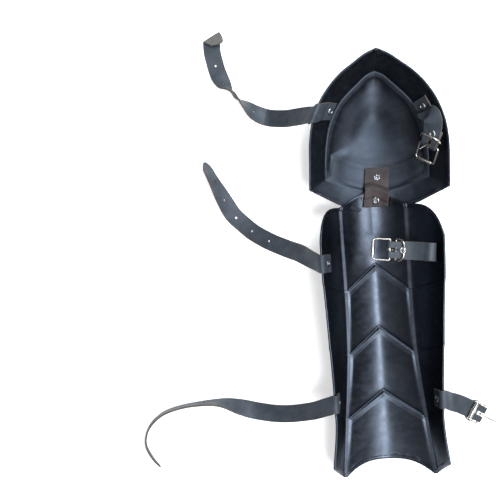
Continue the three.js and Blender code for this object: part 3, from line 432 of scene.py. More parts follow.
def grid_faces(rows, columns, start=0, wrap_rows=False, wrap_columns=False):
    r = np.arange(rows if wrap_rows else rows - 1)[:, None]
    c = np.arange(columns if wrap_columns else columns - 1)[None, :]
    r2, c2 = (r + 1) % rows, (c + 1) % columns
    corners = [r * columns + c, r * columns + c2, r2 * columns + c2, r2 * columns + c]
    return np.stack(np.broadcast_arrays(*corners), axis=-1).reshape(-1, 4) + start


def grid_normals(grid, wrap=False):
    down = np.gradient(grid, axis=0)
    across = np.gradient(grid, axis=1)
    if wrap:
        across = (np.roll(grid, -1, axis=1) - np.roll(grid, 1, axis=1)) / 2
    return facing(unit(np.cross(across, down)), UP)


def plate(grid, top, under, wrap=False):
    """Both sides of a sheet from a grid on its hollow side, with how far each stands off the grid.

    A wrapped grid goes round its middle, and its last ring is closed there.
    """
    rows, columns = grid.shape[:2]
    normal = grid_normals(grid, wrap)
    hollow = grid + normal * np.asarray(top)[..., None]
    front = grid + normal * np.asarray(under)[..., None]
    front[..., 2] = np.maximum(front[..., 2], 0)
    total = rows * columns
    faces = [grid_faces(rows, columns, 0, False, wrap),
             grid_faces(rows, columns, total, False, wrap)[:, ::-1]]
    ids = np.arange(total).reshape(rows, columns)
    if wrap:
        edges = [ids[0]]
    else:
        edges = [np.r_[ids[0, :-1], ids[:-1, -1], ids[-1, :0:-1], ids[:0:-1, 0]]]
    for edge in edges:
        after = np.roll(edge, -1)
        faces.append(np.stack([after, edge, edge + total, after + total], axis=-1))
    points = np.vstack([hollow.reshape(-1, 3), front.reshape(-1, 3)])
    if wrap:
        last = ids[-1]
        points = np.vstack([points, hollow[-1].mean(0), front[-1].mean(0)])
        hub = np.full(columns, 2 * total)
        after = np.roll(last, -1)
        caps = np.vstack([np.stack([last, after, hub], axis=-1),
                          np.stack([after + total, last + total, hub + 1], axis=-1)])
    else:
        caps = []
    return points, [tuple(f) for f in np.vstack(faces)] + [tuple(f) for f in caps]


def sweep(path, section, side, loop=False, square=True):
    """Rings of a section (across, up) along a path. side is each ring's width direction."""
    path, side = np.asarray(path, float), np.asarray(side, float)
    run = np.roll(path, -1, 0) - np.roll(path, 1, 0)
    if not loop:
        run = np.gradient(path, axis=0)
    run = unit(run)
    if square:
        side = unit(side - (side * run).sum(-1, keepdims=True) * run)
    up = unit(np.cross(run, side))
    section = np.asarray(section, float)
    if section.ndim == 2:
        section = np.broadcast_to(section, (len(path), *section.shape))
    rings = path[:, None] + side[:, None] * section[..., :1] + up[:, None] * section[..., 1:]
    count, sides = rings.shape[:2]
    faces = [tuple(f) for f in grid_faces(count, sides, 0, loop, True)]
    if not loop:
        faces += [tuple(range(sides))[::-1], tuple(range((count - 1) * sides, count * sides))]
    return rings.reshape(-1, 3), faces


def circle(radius):
    turn = np.arange(WIRE_SIDES) * 2 * math.pi / WIRE_SIDES
    return np.stack([np.cos(turn), np.sin(turn)], axis=-1) * np.asarray(radius)[..., None, None]


def wire(path, radius, side, loop=False):
    """A round wire. Open ends are rounded off, and radius may change along it."""
    path = np.asarray(path, float)
    radius = np.broadcast_to(np.asarray(radius, float), len(path))
    if not loop:
        turns = np.radians([80, 60, 40, 20])
        start, end = unit(path[0] - path[1]), unit(path[-1] - path[-2])
        head = path[0] + start * radius[0] * np.sin(turns)[:, None]
        tail = path[-1] + end * radius[-1] * np.sin(turns[::-1])[:, None]
        path = np.vstack([head, path, tail])
        radius = np.r_[radius[0] * np.cos(turns), radius, radius[-1] * np.cos(turns[::-1])]
    side = np.broadcast_to(np.asarray(side, float), path.shape)
    return sweep(path, circle(radius), side, loop)


def lathe(profile, shape):
    """A solid about Z from (radius, height) rows, the first and last on the axis. shape may change them."""
    sides = ROUND_SIDES
    turn = np.arange(sides) * 2 * math.pi / sides
    profile = np.asarray(profile, float)
    radius = np.repeat(profile[1:-1, :1], sides, axis=1)
    height = np.repeat(profile[1:-1, 1:], sides, axis=1)
    radius, height = shape(radius, height, turn)
    points = np.stack([radius * np.cos(turn), radius * np.sin(turn), height], axis=-1)
    rows = len(points)
    points = np.vstack([points.reshape(-1, 3), [0, 0, profile[0, 1]], [0, 0, profile[-1, 1]]])
    faces = [tuple(f) for f in grid_faces(rows, sides, 0, False, True)]
    for k in range(sides):
        after = (k + 1) % sides
        faces.append((after, k, rows * sides))
        faces.append(((rows - 1) * sides + k, (rows - 1) * sides + after, rows * sides + 1))
    return points, faces


def placed(points, x, y, z, at):
    """Points from a piece's own axes to the model's."""
    return np.asarray(points) @ np.array([x, y, z]) + at


def curve_through(points, fine=60):
    """A centripetal curve through points, sampled finely, and the length at which it meets each point."""
    points = np.asarray(points, float)
    p = np.vstack([2 * points[0] - points[1], points, 2 * points[-1] - points[-2]])
    pace = np.sqrt(np.linalg.norm(np.diff(p, axis=0), axis=1))
    t = (np.arange(fine) / fine)[:, None]
    samples = []
    for i in range(len(points) - 1):
        (a, b, c, d), (da, db, dc) = p[i:i + 4], pace[i:i + 3]
        leave = ((b - a) / da - (c - a) / (da + db) + (c - b) / db) * db
        meet = ((c - b) / db - (d - b) / (db + dc) + (d - c) / dc) * db
        samples.append(b + leave * t + (3 * (c - b) - 2 * leave - meet) * t ** 2
                       + (2 * (b - c) + leave + meet) * t ** 3)
    samples = np.vstack([*samples, points[-1:]])
    lengths = np.r_[0, np.cumsum(np.linalg.norm(np.diff(samples, axis=0), axis=1))]
    return samples, lengths, lengths[::fine]


def hem_offsets(edge_distance, width):
    """How far the hollow and the front side of a hemmed sheet stand off, by distance from the edge."""
    reach = (HEM_FOLD + STEEL) / 2
    middle = (HEM_FOLD - STEEL) / 2
    bulge = np.sqrt(np.clip(1 - (1 - np.minimum(edge_distance / reach, 1)) ** 2, 0, 1))
    fold = middle + reach * bulge
    top = fold * (1 - smooth(width - 0.05 * MM, width + HEM_SLOPE, edge_distance))
    return top, middle - reach * bulge


# Materials

class Paint:
    """A material with its principled shader, and short ways to add and join nodes."""

    def __init__(self, name):
        self.material = bpy.data.materials.new(name)
        self.material.use_nodes = True
        self.tree = self.material.node_tree
        self.shader = self.tree.nodes["Principled BSDF"]
        self.place = self.node("TexCoord").outputs["Object"]

    def node(self, kind, inputs=None, **settings):
        made = self.tree.nodes.new("ShaderNode" + kind)
        for key, value in settings.items():
            setattr(made, key, value)
        for key, value in (inputs or {}).items():
            if isinstance(value, bpy.types.NodeSocket):
                self.tree.links.new(value, made.inputs[key])
            else:
                made.inputs[key].default_value = value
        return made

    def noise(self, wave, detail=3, stretch=(1, 1, 1)):
        at = self.node("Mapping", {"Vector": self.place, "Scale": stretch}).outputs[0]
        return self.node("TexNoise", {"Vector": at, "Scale": 1 / wave, "Detail": detail,
                                      "Roughness": NOISE_ROUGHNESS}).outputs[0]

    def cells(self, wave):
        """How far a place is from the edge of its cell."""
        settings = {"Vector": self.place, "Scale": 1 / wave}
        return self.node("TexVoronoi", settings, feature="DISTANCE_TO_EDGE").outputs[0]

    def ramp(self, value, low, high, start=0.0, end=1.0):
        return self.node("MapRange", {"Value": value, "From Min": low, "From Max": high, "To Min": start,
                                      "To Max": end}, clamp=True).outputs[0]

    def blend(self, share, a, b):
        return self.node("Mix", {0: share, 6: a, 7: b}, data_type="RGBA").outputs[2]

    def times(self, a, b):
        return self.node("Math", {0: a, 1: b}, operation="MULTIPLY").outputs[0]

    def bump(self, height, depth, strength, under=None):
        inputs = {"Height": height, "Distance": depth, "Strength": strength}
        if under is not None:
            inputs["Normal"] = under
        return self.node("Bump", inputs).outputs[0]

    def join(self, value, key):
        self.tree.links.new(value, self.shader.inputs[key])

    def set(self, key, value):
        self.shader.inputs[key].default_value = value


def color(r, g, b):
    return (r, g, b, 1)


NOISE_ROUGHNESS = 0.55
STEEL_DARK = color(0.034, 0.041, 0.054)
STEEL_LIGHT = color(0.047, 0.055, 0.07)
STEEL_SMUDGE = color(0.066, 0.073, 0.085)
STEEL_FLECK = color(0.2, 0.21, 0.23)
STEEL_SCRATCH = color(0.14, 0.15, 0.165)
ALONG_SHIN = (1, 0.06, 1)


def black_steel(name, rough, painted_shade):
    """Blued steel with smudges, flecks and scratches. A last argument below 1 darkens the whole base colour
    towards black: painted shade, which makes a darker copy of the same steel.
    """
    p = Paint(name)
    p.set("Metallic", 1)
    cloud = p.noise(38 * MM, 4)
    smudge = p.noise(9 * MM, 5, (1, 1.6, 1))
    peel = p.noise(1.6 * MM, 2)
    fleck = p.ramp(p.noise(1.1 * MM, 2), 0.735, 0.76)
    scratch = p.ramp(p.noise(0.9 * MM, 3, ALONG_SHIN), 0.715, 0.74)
    base = p.blend(p.ramp(cloud, 0.35, 0.68), STEEL_DARK, STEEL_LIGHT)
    base = p.blend(p.ramp(smudge, 0.45, 0.8, 0, 0.3), base, STEEL_SMUDGE)
    base = p.blend(p.times(fleck, 0.5), base, STEEL_FLECK)
    base = p.blend(p.times(scratch, 0.3), base, STEEL_SCRATCH)
    # Painted shade: the base colour is blended towards black by the share that the last argument falls below
    # 1
    p.join(p.blend(1 - painted_shade, base, color(0, 0, 0)), "Base Color")
    p.join(p.ramp(smudge, 0.3, 0.75, rough - 0.06, rough + 0.06), "Roughness")
    dents = p.bump(p.noise(14 * MM, 2), 0.25 * MM, 0.35)
    p.join(p.bump(peel, 0.05 * MM, 0.5, dents), "Normal")
    return p.material


def leather(name, dark, light, rough, grain_wave, grain_depth, worn=None):
    p = Paint(name)
    p.set("Specular IOR Level", 0.4)
    p.set("Specular Tint", color(0.78, 0.88, 1))
    grain = p.ramp(p.cells(grain_wave), 0.02, 0.28)
    cloud = p.noise(16 * MM, 5)
    fine = p.noise(0.8 * MM, 4)
    base = p.blend(p.ramp(cloud, 0.3, 0.7), dark, light)
    base = p.blend(p.ramp(fine, 0.3, 0.75, 0, 0.4), base, color(*(0.6 * v for v in dark[:3])))
    if worn:
        base = p.blend(p.ramp(p.noise(5 * MM, 6), 0.6, 0.74, 0, 0.6), base, worn)
    p.join(base, "Base Color")
    p.join(p.ramp(cloud, 0.3, 0.7, rough + 0.08, rough - 0.06), "Roughness")
    creases = p.bump(p.noise(7 * MM), 0.5 * MM, 0.5)
    p.join(p.bump(grain, grain_depth, 0.6, p.bump(fine, 0.12 * MM, 0.5, creases)), "Normal")
    return p.material


def bright_metal(name, base, tint, rough, pit):
    p = Paint(name)
    p.set("Metallic", 1)
    p.join(p.blend(p.ramp(p.noise(3.2 * MM, 4), 0.4, 0.72), base, tint), "Base Color")
    p.join(p.ramp(p.noise(1.7 * MM, 4), 0.3, 0.7, rough - 0.05, rough + 0.1), "Roughness")
    p.join(p.bump(p.noise(0.7 * MM), pit, 0.5, p.bump(p.noise(4 * MM, 2), 0.15 * MM, 0.3)), "Normal")
    return p.material


SHIN_PAINT = black_steel("shin_steel", rough=0.36, painted_shade=1)
# The knee's steel is the shin's steel with painted shade: its base colour is darkened to 0.8 to match how the
# dome looked under the light. Its higher roughness is a real difference.
KNEE_PAINT = black_steel("knee_steel_painted_shade", rough=0.5, painted_shade=0.8)
GRAIN = leather("black_grain", color(0.02, 0.024, 0.031), color(0.045, 0.052, 0.062),
                rough=0.5, grain_wave=0.9 * MM, grain_depth=0.08 * MM)
FLESH = leather("grey_flesh", color(0.085, 0.082, 0.072), color(0.15, 0.145, 0.13),
                rough=0.85, grain_wave=0.6 * MM, grain_depth=0.1 * MM)
CUT_EDGE = leather("brown_edge", color(0.05, 0.042, 0.036), color(0.12, 0.09, 0.07),
                   rough=0.8, grain_wave=0.5 * MM, grain_depth=0.1 * MM)
TAB_FLESH = leather("brown_flesh", color(0.024, 0.017, 0.016), color(0.048, 0.034, 0.031),
                    rough=0.75, grain_wave=0.8 * MM, grain_depth=0.1 * MM, worn=color(0.022, 0.015, 0.014))
TAB_EDGE = leather("red_edge", color(0.16, 0.05, 0.035), color(0.26, 0.1, 0.07),
                   rough=0.7, grain_wave=0.6 * MM, grain_depth=0.1 * MM)
NICKEL = bright_metal("nickel", color(0.6, 0.575, 0.53), color(0.42, 0.4, 0.36), rough=0.26, pit=0.03 * MM)
RIVET_METAL = bright_metal("rivet_metal", color(0.3, 0.31, 0.33), color(0.18, 0.185, 0.19),
                           rough=0.36, pit=0.05 * MM)


# Shin plate: chevron lines, creases and a hemmed edge

# Where the rows lie round a chevron line, above it and below it
CHEVRON_SPOTS = np.array([-4, -2.6, -1.6, -1, -0.5, 0, 0.4, 0.8, 1.2, 1.6, 2, 2.5, 3.4, 5, 6.6, 7.4, 8, 8.6,
                          9.4, 10.6, 12.5]) * MM
CHEVRON_GROOVE = 0.55 * MM
CHEVRON_LEAD = 3.2 * MM
CHEVRON_RUN = 2.1 * MM
BEVEL_START = 1.6 * MM
CHEVRON_BAND = 7.6 * MM
CHEVRON_LOW = 0.5 * MM
CHEVRON_RISE = 0.8 * MM
TOP_FLAT = 7 * MM
TOP_NICKS = (1.1, 1.95)
NICK_WIDTH = 0.12
NICK_DEPTH = 0.9 * MM
HEM_UNEVEN = 0.07
SHIN_WAVES = ((0.16 * MM, 8, 46 * MM), (0.05 * MM, 9, 15 * MM))
LAME_ROWS = 14
WALL_COLUMNS = 24
STRIP_COLUMNS = 7
PANEL_COLUMNS = 30


def shin_rows(lane, lean):
    """Y of each row of the fine grid on a lane. lean is how far each end's edge stands off square."""
    rows = []
    for line in range(BOTTOM):
        top, bottom = shin_line(line, lane), shin_line(line + 1, lane)
        start = HEM_SPOTS / lean[0] if line == 0 else CHEVRON_SPOTS[CHEVRON_SPOTS >= 0]
        end = HEM_SPOTS[::-1] / lean[1] if line == BOTTOM - 1 else -CHEVRON_SPOTS[CHEVRON_SPOTS < 0]
        first, final = top - start[-1], bottom + end[0]
        middle = [mix(first, final, k / LAME_ROWS) for k in range(1, LAME_ROWS)]
        rows += [top - d for d in start] + middle + [bottom + d for d in end]
    return np.array(rows)


def chevron_height(lane, y):
    """How proud the surface stands, with a groove above each chevron line and a band below it."""
    panel = np.abs(lane)
    scale = 1 - 0.65 * smooth(0.95, 1, panel) - 0.15 * smooth(2.2, 3, panel)
    height = np.zeros(np.broadcast(lane, y).shape)
    for line in range(1, len(CHEVRONS) + 1):
        top, bottom = shin_line(line, lane), shin_line(line + 1, lane)
        down = top - y
        proud = LAME_STEP - CHEVRON_LOW
        step = (proud + CHEVRON_GROOVE) * smooth(0, CHEVRON_RUN, down) - CHEVRON_GROOVE
        bevel = CHEVRON_RISE * np.clip((down - BEVEL_START) / (CHEVRON_BAND - BEVEL_START), 0, 1)
        fade = np.clip(1 - (down - CHEVRON_BAND) / (top - bottom - CHEVRON_BAND), 0, 1)
        lame = np.where(down < CHEVRON_BAND, step + bevel, (proud + CHEVRON_RISE) * fade)
        groove = -CHEVRON_GROOVE * smooth(-CHEVRON_LEAD, 0, down)
        height = np.where(down > 0, lame, np.where(down > -CHEVRON_LEAD, groove, height))
    return height * scale


def build_shin():
    hem_lanes = 3 - HEM_SPOTS / (WALL_REACH)
    panel = np.linspace(0, 1, PANEL_COLUMNS)
    strip = np.linspace(1, 2, STRIP_COLUMNS)[1:]
    wall = np.linspace(2, hem_lanes[-1], WALL_COLUMNS)[1:-1]
    right = np.r_[panel, strip, wall, hem_lanes[::-1]]
    lanes = np.r_[-right[:0:-1], right]
    leans = []
    for line in (0, BOTTOM):
        edge = shin_line(line, lanes)
        slope = np.gradient(edge, shin_plain(lanes, edge)[:, 0])
        leans.append(1 / np.sqrt(1 + np.clip(slope, -1.3, 1.3) ** 2))
    y = np.stack([shin_rows(lane, lean) for lane, lean in zip(lanes, np.transpose(leans))], axis=1)
    lane = np.broadcast_to(lanes, y.shape)
    first = shin_line(1, lane)
    round_keel = mix(0.2, 0.3, smooth(-6 * MM, 4 * MM, y - first))
    grid = shin_plain(lane, y, round_keel)
    across = np.minimum(np.abs(lane), 1)
    grid[..., 2] -= TOP_FLAT * smooth(10 * MM, 48 * MM, y - first) * (across * (1 - across ** 2)) ** 1.2
    from_top = (shin_line(0, lane) - y) * leans[0]
    from_bottom = (y - shin_line(BOTTOM, lane)) * leans[1]
    from_rim = (3 - np.abs(lane)) * WALL_REACH
    width = HEM_WIDTH * (1 + HEM_UNEVEN * ripple(grid[..., 0], y, 5, 24 * MM))
    top, under = hem_offsets(np.minimum(np.minimum(from_top, from_bottom), from_rim), width)
    wave = sum(size * ripple(grid[..., 0], y, seed, length) for size, seed, length in SHIN_WAVES)
    height = chevron_height(lane, y) + wave * smooth(0, 14 * MM, from_rim)
    on_hem = (from_top < HEM_WIDTH) & (from_top > 0.5 * MM)
    for spot in TOP_NICKS:
        top = top - NICK_DEPTH * np.exp(-((np.abs(lane) - spot) / NICK_WIDTH) ** 2) * on_hem
    points, faces = plate(grid, top + height, under + height)
    add_piece("shin_plate_sheet", points, faces, [SHIN_PAINT], "shin_plate", sharp=STEEL_SHARP)


# Knee plate: a hemmed edge, a groove, a raised strip and a dome

RIM_COUNT = 288
HEM_CORNERS = (0, KNEE_CORNER_ROW)
HEM_LUMP = 0.5 * MM
MARGIN_RINGS = 20
STRIP_RINGS = 6
BAND_RINGS = 12
DOME_RINGS = 30
LEDGE_GROOVE = 0.7 * MM
GROOVE_WIDTH = 2.2 * MM
LEDGE_BEAD = 0.2 * MM
BEAD_WIDTH = 0.9 * MM
LEDGE_TILT = 2.4 * MM
FOOT_BEAD = 0.45 * MM
FIELD_DIP = 0.5 * MM
DOME_POWER = 2.2
DOME_WAVE = 0.12 * MM


def softened(line, reach):
    """A line of the knee with its corners rounded over a reach in places."""
    window = np.exp(-(np.arange(-3 * reach, 3 * reach + 1) / reach) ** 2)
    window = window / window.sum()
    return {key: sum(w * np.roll(value, int(k) - 3 * reach) for k, w in enumerate(window))
            for key, value in line.items()}


def knee_margin_rings(rim, ledge, place, low):
    """Rings from the hemmed rim to the raised strip, each with how far its two sides stand off."""
    hem = HEM_SPOTS / KNEE_MARGIN
    width = HEM_WIDTH * (1 + HEM_UNEVEN * np.sin(place * 5))
    for share in np.r_[hem, np.linspace(hem[-1], 1, MARGIN_RINGS)[1:]]:
        top, under = hem_offsets(np.full(RIM_COUNT, share * KNEE_MARGIN), width)
        ring = knee_between(rim, ledge, share, top)
        from_ledge = (1 - share) * KNEE_MARGIN
        groove = (LEDGE_BEAD * np.exp(-(from_ledge / BEAD_WIDTH) ** 2)
                  - LEDGE_GROOVE * np.exp(-(from_ledge / GROOVE_WIDTH) ** 2) * (1 - low))
        on_hem = smooth((HEM_WIDTH + HEM_SLOPE) / KNEE_MARGIN, HEM_WIDTH * 0.8 / KNEE_MARGIN, share)
        for corner in HEM_CORNERS:
            away = np.abs(np.abs(place) - corner)
            top = top + on_hem * (HEM_LUMP * np.exp(-(away / 0.1) ** 2)
                                  - NICK_DEPTH * np.exp(-((away - 0.26) / 0.045) ** 2))
        yield ring, top + groove, under + groove


def knee_dome_rings(ledge, field, foot, low):
    """Rings from the raised strip to the middle of the dome, each with how far its hollow side stands off."""
    tilt = LEDGE_TILT * (1 - low)
    for share in np.linspace(0, 1, STRIP_RINGS + 1)[1:]:
        yield knee_between(ledge, field, share), LEDGE_BEAD * (1 - smooth(0.0, 1, share)) - tilt * share
    for share in np.linspace(0, 1, BAND_RINGS + 1)[1:]:
        bead = FOOT_BEAD * np.exp(-((1 - share) * 9) ** 2) - FIELD_DIP * np.exp(-(share * 7 - 0.8) ** 2)
        yield knee_between(field, foot, share), bead * low - tilt
    rounder, round_most = softened(foot, 24), softened(foot, 44)
    for share in np.linspace(1, 0, DOME_RINGS + 1)[1:-1]:
        first, second = smooth(1, 0.8, share), smooth(0.9, 0.45, share)
        out, up, rim_deep = (mix(mix(foot[key], rounder[key], first), round_most[key], second)
                             for key in KNEE_COLUMNS)
        floor = STEEL / KNEE_DEPTH
        deep = mix(floor, rim_deep, share ** DOME_POWER)
        ring = knee_place(mix(0, out, share), mix(KNEE_CENTRE, up, share), deep)
        wave = DOME_WAVE * ripple(ring[:, 0], ring[:, 1], 3, 30 * MM) * smooth(0.15, 0.4, share)
        yield ring, wave - tilt * smooth(0.6, 1, share)


def build_knee():
    last = len(KNEE_LINES["rim"]) - 1
    place = (np.arange(RIM_COUNT) / RIM_COUNT * 2 - 1) * last
    place = np.where(place < -last + 1e-9, last, place)
    rim, ledge, field, foot = (knee_line(name, place, True) for name in KNEE_LINES)
    low = smooth(8, 9.5, np.abs(place))
    rows = list(knee_margin_rings(rim, ledge, place, low))
    rows += [(ring, top, top - STEEL) for ring, top in knee_dome_rings(ledge, field, foot, low)]
    points, faces = plate(*(np.array(part) for part in zip(*rows)), True)
    add_piece("knee_plate_sheet", points, faces, [KNEE_PAINT], "knee_plate", sharp=STEEL_SHARP)


# Where the straps are riveted

def seat_of(wall_at, depth):
    """wall(s) is a place on the hollow side, s down from the rim, standing off by how far the wall bends."""
    def wall(s):
        point, normal = wall_at(s, 0)
        a, b = (wall_at(s, shift)[0] for shift in edges)
        bend = max(float(((a + b) / 2 - point) @ normal), 0)
        return point + normal * bend, normal, bend

    edges = (STRAP_WIDTH / 2, -STRAP_WIDTH / 2)
    a, b = (wall_at(depth, shift)[0] for shift in edges)
    return wall, facing(unit(a - b), ALONG)


def shin_seat(side, y, depth=SEAT_DEPTH):
    return seat_of(lambda s, along: shin_place(np.float64(side * (3 - s / (WALL_REACH))), y + along), depth)


def knee_seat(place, depth=SEAT_DEPTH, slant=0.0):
    """slant is how much further round the knee the strap lies for each metre down from the rim."""
    pitch = np.linalg.norm(knee_margin(place + 0.5, 0.5)[0] - knee_margin(place - 0.5, 0.5)[0])
    return seat_of(lambda s, along: knee_margin(place + slant * s + along / pitch, s / KNEE_MARGIN), depth)


def wall_stretch(seat, below, above):
    """Places of a strap up the wall, from below its rivet to above, clear of the hem."""
    lift = SEAT_GAP + LEATHER / 2
    free_of_hem = HEM_WIDTH + HEM_FAR
    places = []
    for s in (below, (below + free_of_hem) / 2, max(above, free_of_hem), above):
        point, normal, _ = seat[0](s)
        places.append(point + normal * (lift + (HEM_FOLD + GAP if s < HEM_WIDTH + HEM_NEAR else 0)))
    return places


def over_rim(seat):
    """Places of a strap round the outside of the rim."""
    point, normal, _ = seat[0](0)
    leave = unit(point - seat[0](HEM_WIDTH)[0])
    slide = leave @ seat[1]
    up = unit(leave - slide * seat[1])
    drift = slide / math.sqrt(1 - slide ** 2)
    centre = point + normal * (HEM_FOLD - STEEL) / 2
    radius = (HEM_FOLD + STEEL) / 2 + RIM_CLEARANCE + LEATHER / 2
    return [centre + normal * radius * math.cos(turn) + up * radius * math.sin(turn)
            + seat[1] * drift * radius * turn for turn in np.radians([0, 35, 70, 105])]


# Straps

def course(strap, fixed, start, height):
    """Places and rolls along a strap: the fixed ones, then its rows as shares of its reach and drift."""
    places, rolls = list(fixed), [0] * len(fixed)
    for out, drift, up, roll in strap["rows"]:
        places.append([start[0] + out * strap["reach"], start[1] + drift * strap["drift"], height(up)])
        rolls.append(roll)
    return places, rolls


def stations_along(places, rolls, edge, held, freed):
    """Places, width directions and lengths along a strap. The width follows edge as far as held."""
    places = np.array(places)
    new = np.r_[True, np.linalg.norm(np.diff(places, axis=0), axis=1) > WELD]
    places, rolls = places[new], np.array(rolls)[new]
    samples, lengths, met = curve_through(places)
    count = round(lengths[-1] / STRAP_STEP)
    along = np.linspace(0, lengths[-1], count + 1)
    place = np.stack([np.interp(along, lengths, samples[:, k]) for k in range(3)], axis=-1)
    run = unit(np.gradient(place, axis=0))
    level = unit(vec(run[:, 1], -run[:, 0], 0))
    level = level * np.where(level @ edge < 0, -1, 1)[:, None]
    table = [{"along": a, "roll": r} for a, r in zip(met, rolls)]
    roll = np.radians(read(table, "roll", along))
    level = turned(level, run, roll)
    hold = smooth(held, freed, along)[:, None]
    side = unit(edge * (1 - hold) + level * hold)
    for i in range(1, len(side)):
        if side[i] @ side[i - 1] < 0:
            side[i] = -side[i]
    thick = unit(np.cross(run, side))
    stand = (np.abs(side[:, 2]) * STRAP_WIDTH + np.abs(thick[:, 2]) * LEATHER) / 2
    place[:, 2] = np.maximum(place[:, 2], stand)
    half = STRAP_WIDTH / 2 / np.linalg.norm(np.cross(run, side), axis=1)
    return place, side, along, half


# Across a strap's section: its grain side, an edge, its flesh side and the other edge
FLAT = np.linspace(-1, 1, 13)
CORNER = 0.4 * MM
STRAP_WANDER = 0.25 * MM
STRAP_CUP = 0.22 * MM
CREASE_RADIUS = 1.3 * MM
CREASE_SPRING = 0.25


def strap_mesh(place, side, along, half, grain_up, seed):
    """A strap's mesh with slots 0 for grain, 1 for flesh and 2 for the cut edges. grain_up is 1 or -1."""
    inner = half - CORNER
    wander = STRAP_WANDER * ripple(along, 0, seed, 30 * MM)
    cup = STRAP_CUP * ripple(along, 0, seed + 1, 40 * MM)
    rings = []
    for i in range(len(place)):
        u = FLAT * inner[i] + wander[i]
        v = cup[i] * (FLAT ** 2 - 0.5)
        edge = inner[i] + CORNER
        upper = np.stack([u, v + LEATHER / 2], axis=-1)
        lower = np.stack([u[::-1], v[::-1] - LEATHER / 2], axis=-1)
        lip = cup[i] / 2
        right = [[edge + wander[i], lip + LEATHER * 0.3], [edge + wander[i], lip - LEATHER * 0.3]]
        left = [[-edge + wander[i], lip - LEATHER * 0.3], [-edge + wander[i], lip + LEATHER * 0.3]]
        rings.append(np.vstack([upper, right, lower, left]))
    points, faces = sweep(place, np.array(rings), side, square=False)
    points[:, 2] = np.maximum(points[:, 2], 0)
    flat = len(FLAT)
    ring_slots = [0] * (flat - 1) + [2] * 3 + [1] * (flat - 1) + [2] * 3
    if grain_up < 0:
        ring_slots = [{0: 1, 1: 0, 2: 2}[k] for k in ring_slots]
    return points, faces, ring_slots * (len(place) - 1) + [2, 2]


def seated(seat, rivet_at, lift=SEAT_GAP):
    """The top of the leather at a strap's rivet, with the wall's normal."""
    point, normal, bend = seat[0](rivet_at)
    return point + normal * (lift + LEATHER), normal, lift + LEATHER + STEEL + bend


def axes_along(normal):
    across = unit(np.cross(normal, [0.0, 1, 0.2]))
    return across, np.cross(normal, across), normal


def cut_with(piece, cutter):
    """Cuts a bmesh out of a piece. The cut faces take the last material slot."""
    for face in cutter.faces:
        face.material_index = len(piece.data.materials) - 1
    mesh = bpy.data.meshes.new("cutter")
    cutter.to_mesh(mesh)
    cutter.free()
    for material in piece.data.materials:
        mesh.materials.append(material)
    tool = bpy.data.objects.new("cutter", mesh)
    bpy.context.scene.collection.objects.link(tool)
    cut = piece.modifiers.new("cut", "BOOLEAN")
    cut.operation = "DIFFERENCE"
    cut.solver = "EXACT"
    cut.object = tool
    cut.use_self = True
    done = bpy.data.meshes.new_from_object(piece.evaluated_get(bpy.context.evaluated_depsgraph_get()))
    piece.modifiers.remove(cut)
    whole = piece.data
    piece.data = done
    bpy.data.objects.remove(tool)
    bpy.data.meshes.remove(mesh)
    bpy.data.meshes.remove(whole)
    done.set_sharp_from_angle(angle=SHARP_ANGLE)


def rivet_hole(top, normal):
    return top, normal, SHANK_RADIUS + GAP, STACK_DRILL


def punch(piece, holes):
    """Cuts round holes (place, direction, radius, length)."""
    cutter = bmesh.new()
    for place, direction, radius, length in holes:
        turn = Vector(direction).to_track_quat("Z", "Y").to_matrix().to_4x4()
        bmesh.ops.create_cone(cutter, cap_ends=True, segments=WIRE_SIDES, radius1=radius, radius2=radius,
                              depth=length, matrix=Matrix.Translation(Vector(place + ORIGIN)) @ turn)
    cut_with(piece, cutter)


STRAP_SLOTS = [GRAIN, FLESH, CUT_EDGE]

# Each strap has its seat on the wall, its rivet's depth from the rim, how far its end goes on past that, and
# how far it lies from where it leaves the steel: reach across, drift along and rise up. Its rows are how far
# out, along and up it is, as shares of these, and its roll in degrees. A free strap's height is a share of
# its start's.
TONGUE_STRAPS = {
    "knee": {
        "seat": knee_seat(-5.6, slant=KNEE_STRAP_SLANT / MM), "rivet_at": 15 * MM,
        "end": 3.5 * MM, "reach": -119 * MM, "drift": 108 * MM,
        "crease": ((-119 * MM, 101 * MM), (-97 * MM, 113 * MM)), "rows": [
            (0.06, 0.003, 0.84, 0), (0.16, 0.012, 0.58, 0), (0.28, 0.03, 0.29, 0), (0.43, 0.068, 0.05, 2),
            (0.555, 0.13, 0.05, 24), (0.665, 0.235, 0.15, 68), (0.755, 0.335, 0.16, 94),
            (0.845, 0.45, 0.1, 36), (0.895, 0.575, 0.02, 4), (0.925, 0.7, 0.02, 0), (0.945, 0.825, 0.02, 0),
            (0.945, 0.98, 0.02, 0), (0.94, 1.134, 0.02, 0),
        ],
    },
    "upper": {
        "seat": shin_seat(-1, -81 * MM), "rivet_at": 20 * MM, "end": 10 * MM,
        "reach": -134 * MM, "drift": 125 * MM, "rows": [
            (0.06, 0.03, 0.88, 0), (0.17, 0.1, 0.64, 0), (0.34, 0.18, 0.32, 0), (0.52, 0.29, 0.1, 0),
            (0.64, 0.395, 0.02, 0), (0.73, 0.5, 0.02, 6), (0.805, 0.65, 0.05, 30), (0.9, 0.87, 0.1, 60),
            (0.955, 1, 0.1, 56),
        ],
    },
    "lower": {
        "seat": shin_seat(-1, -LOWER_STRAP_DOWN), "rivet_at": 16 * MM, "end": 8 * MM,
        "reach": -222 * MM, "drift": -72 * MM, "rows": [
            (0.035, 0.03, 0.93, 0), (0.12, 0.12, 0.7, 0), (0.26, 0.2, 0.36, 2), (0.4, 0.17, 0.14, 12),
            (0.49, 0.09, 0.12, 38), (0.6, 0, 0.18, 76), (0.71, 0, 0.2, 88), (0.82, 0.05, 0.2, 90),
            (0.91, 0.15, 0.2, 88), (0.98, 0.36, 0.2, 84), (1, 0.62, 0.2, 80), (0.97, 0.84, 0.2, 78),
            (0.93, 1, 0.2, 76),
        ],
    },
}
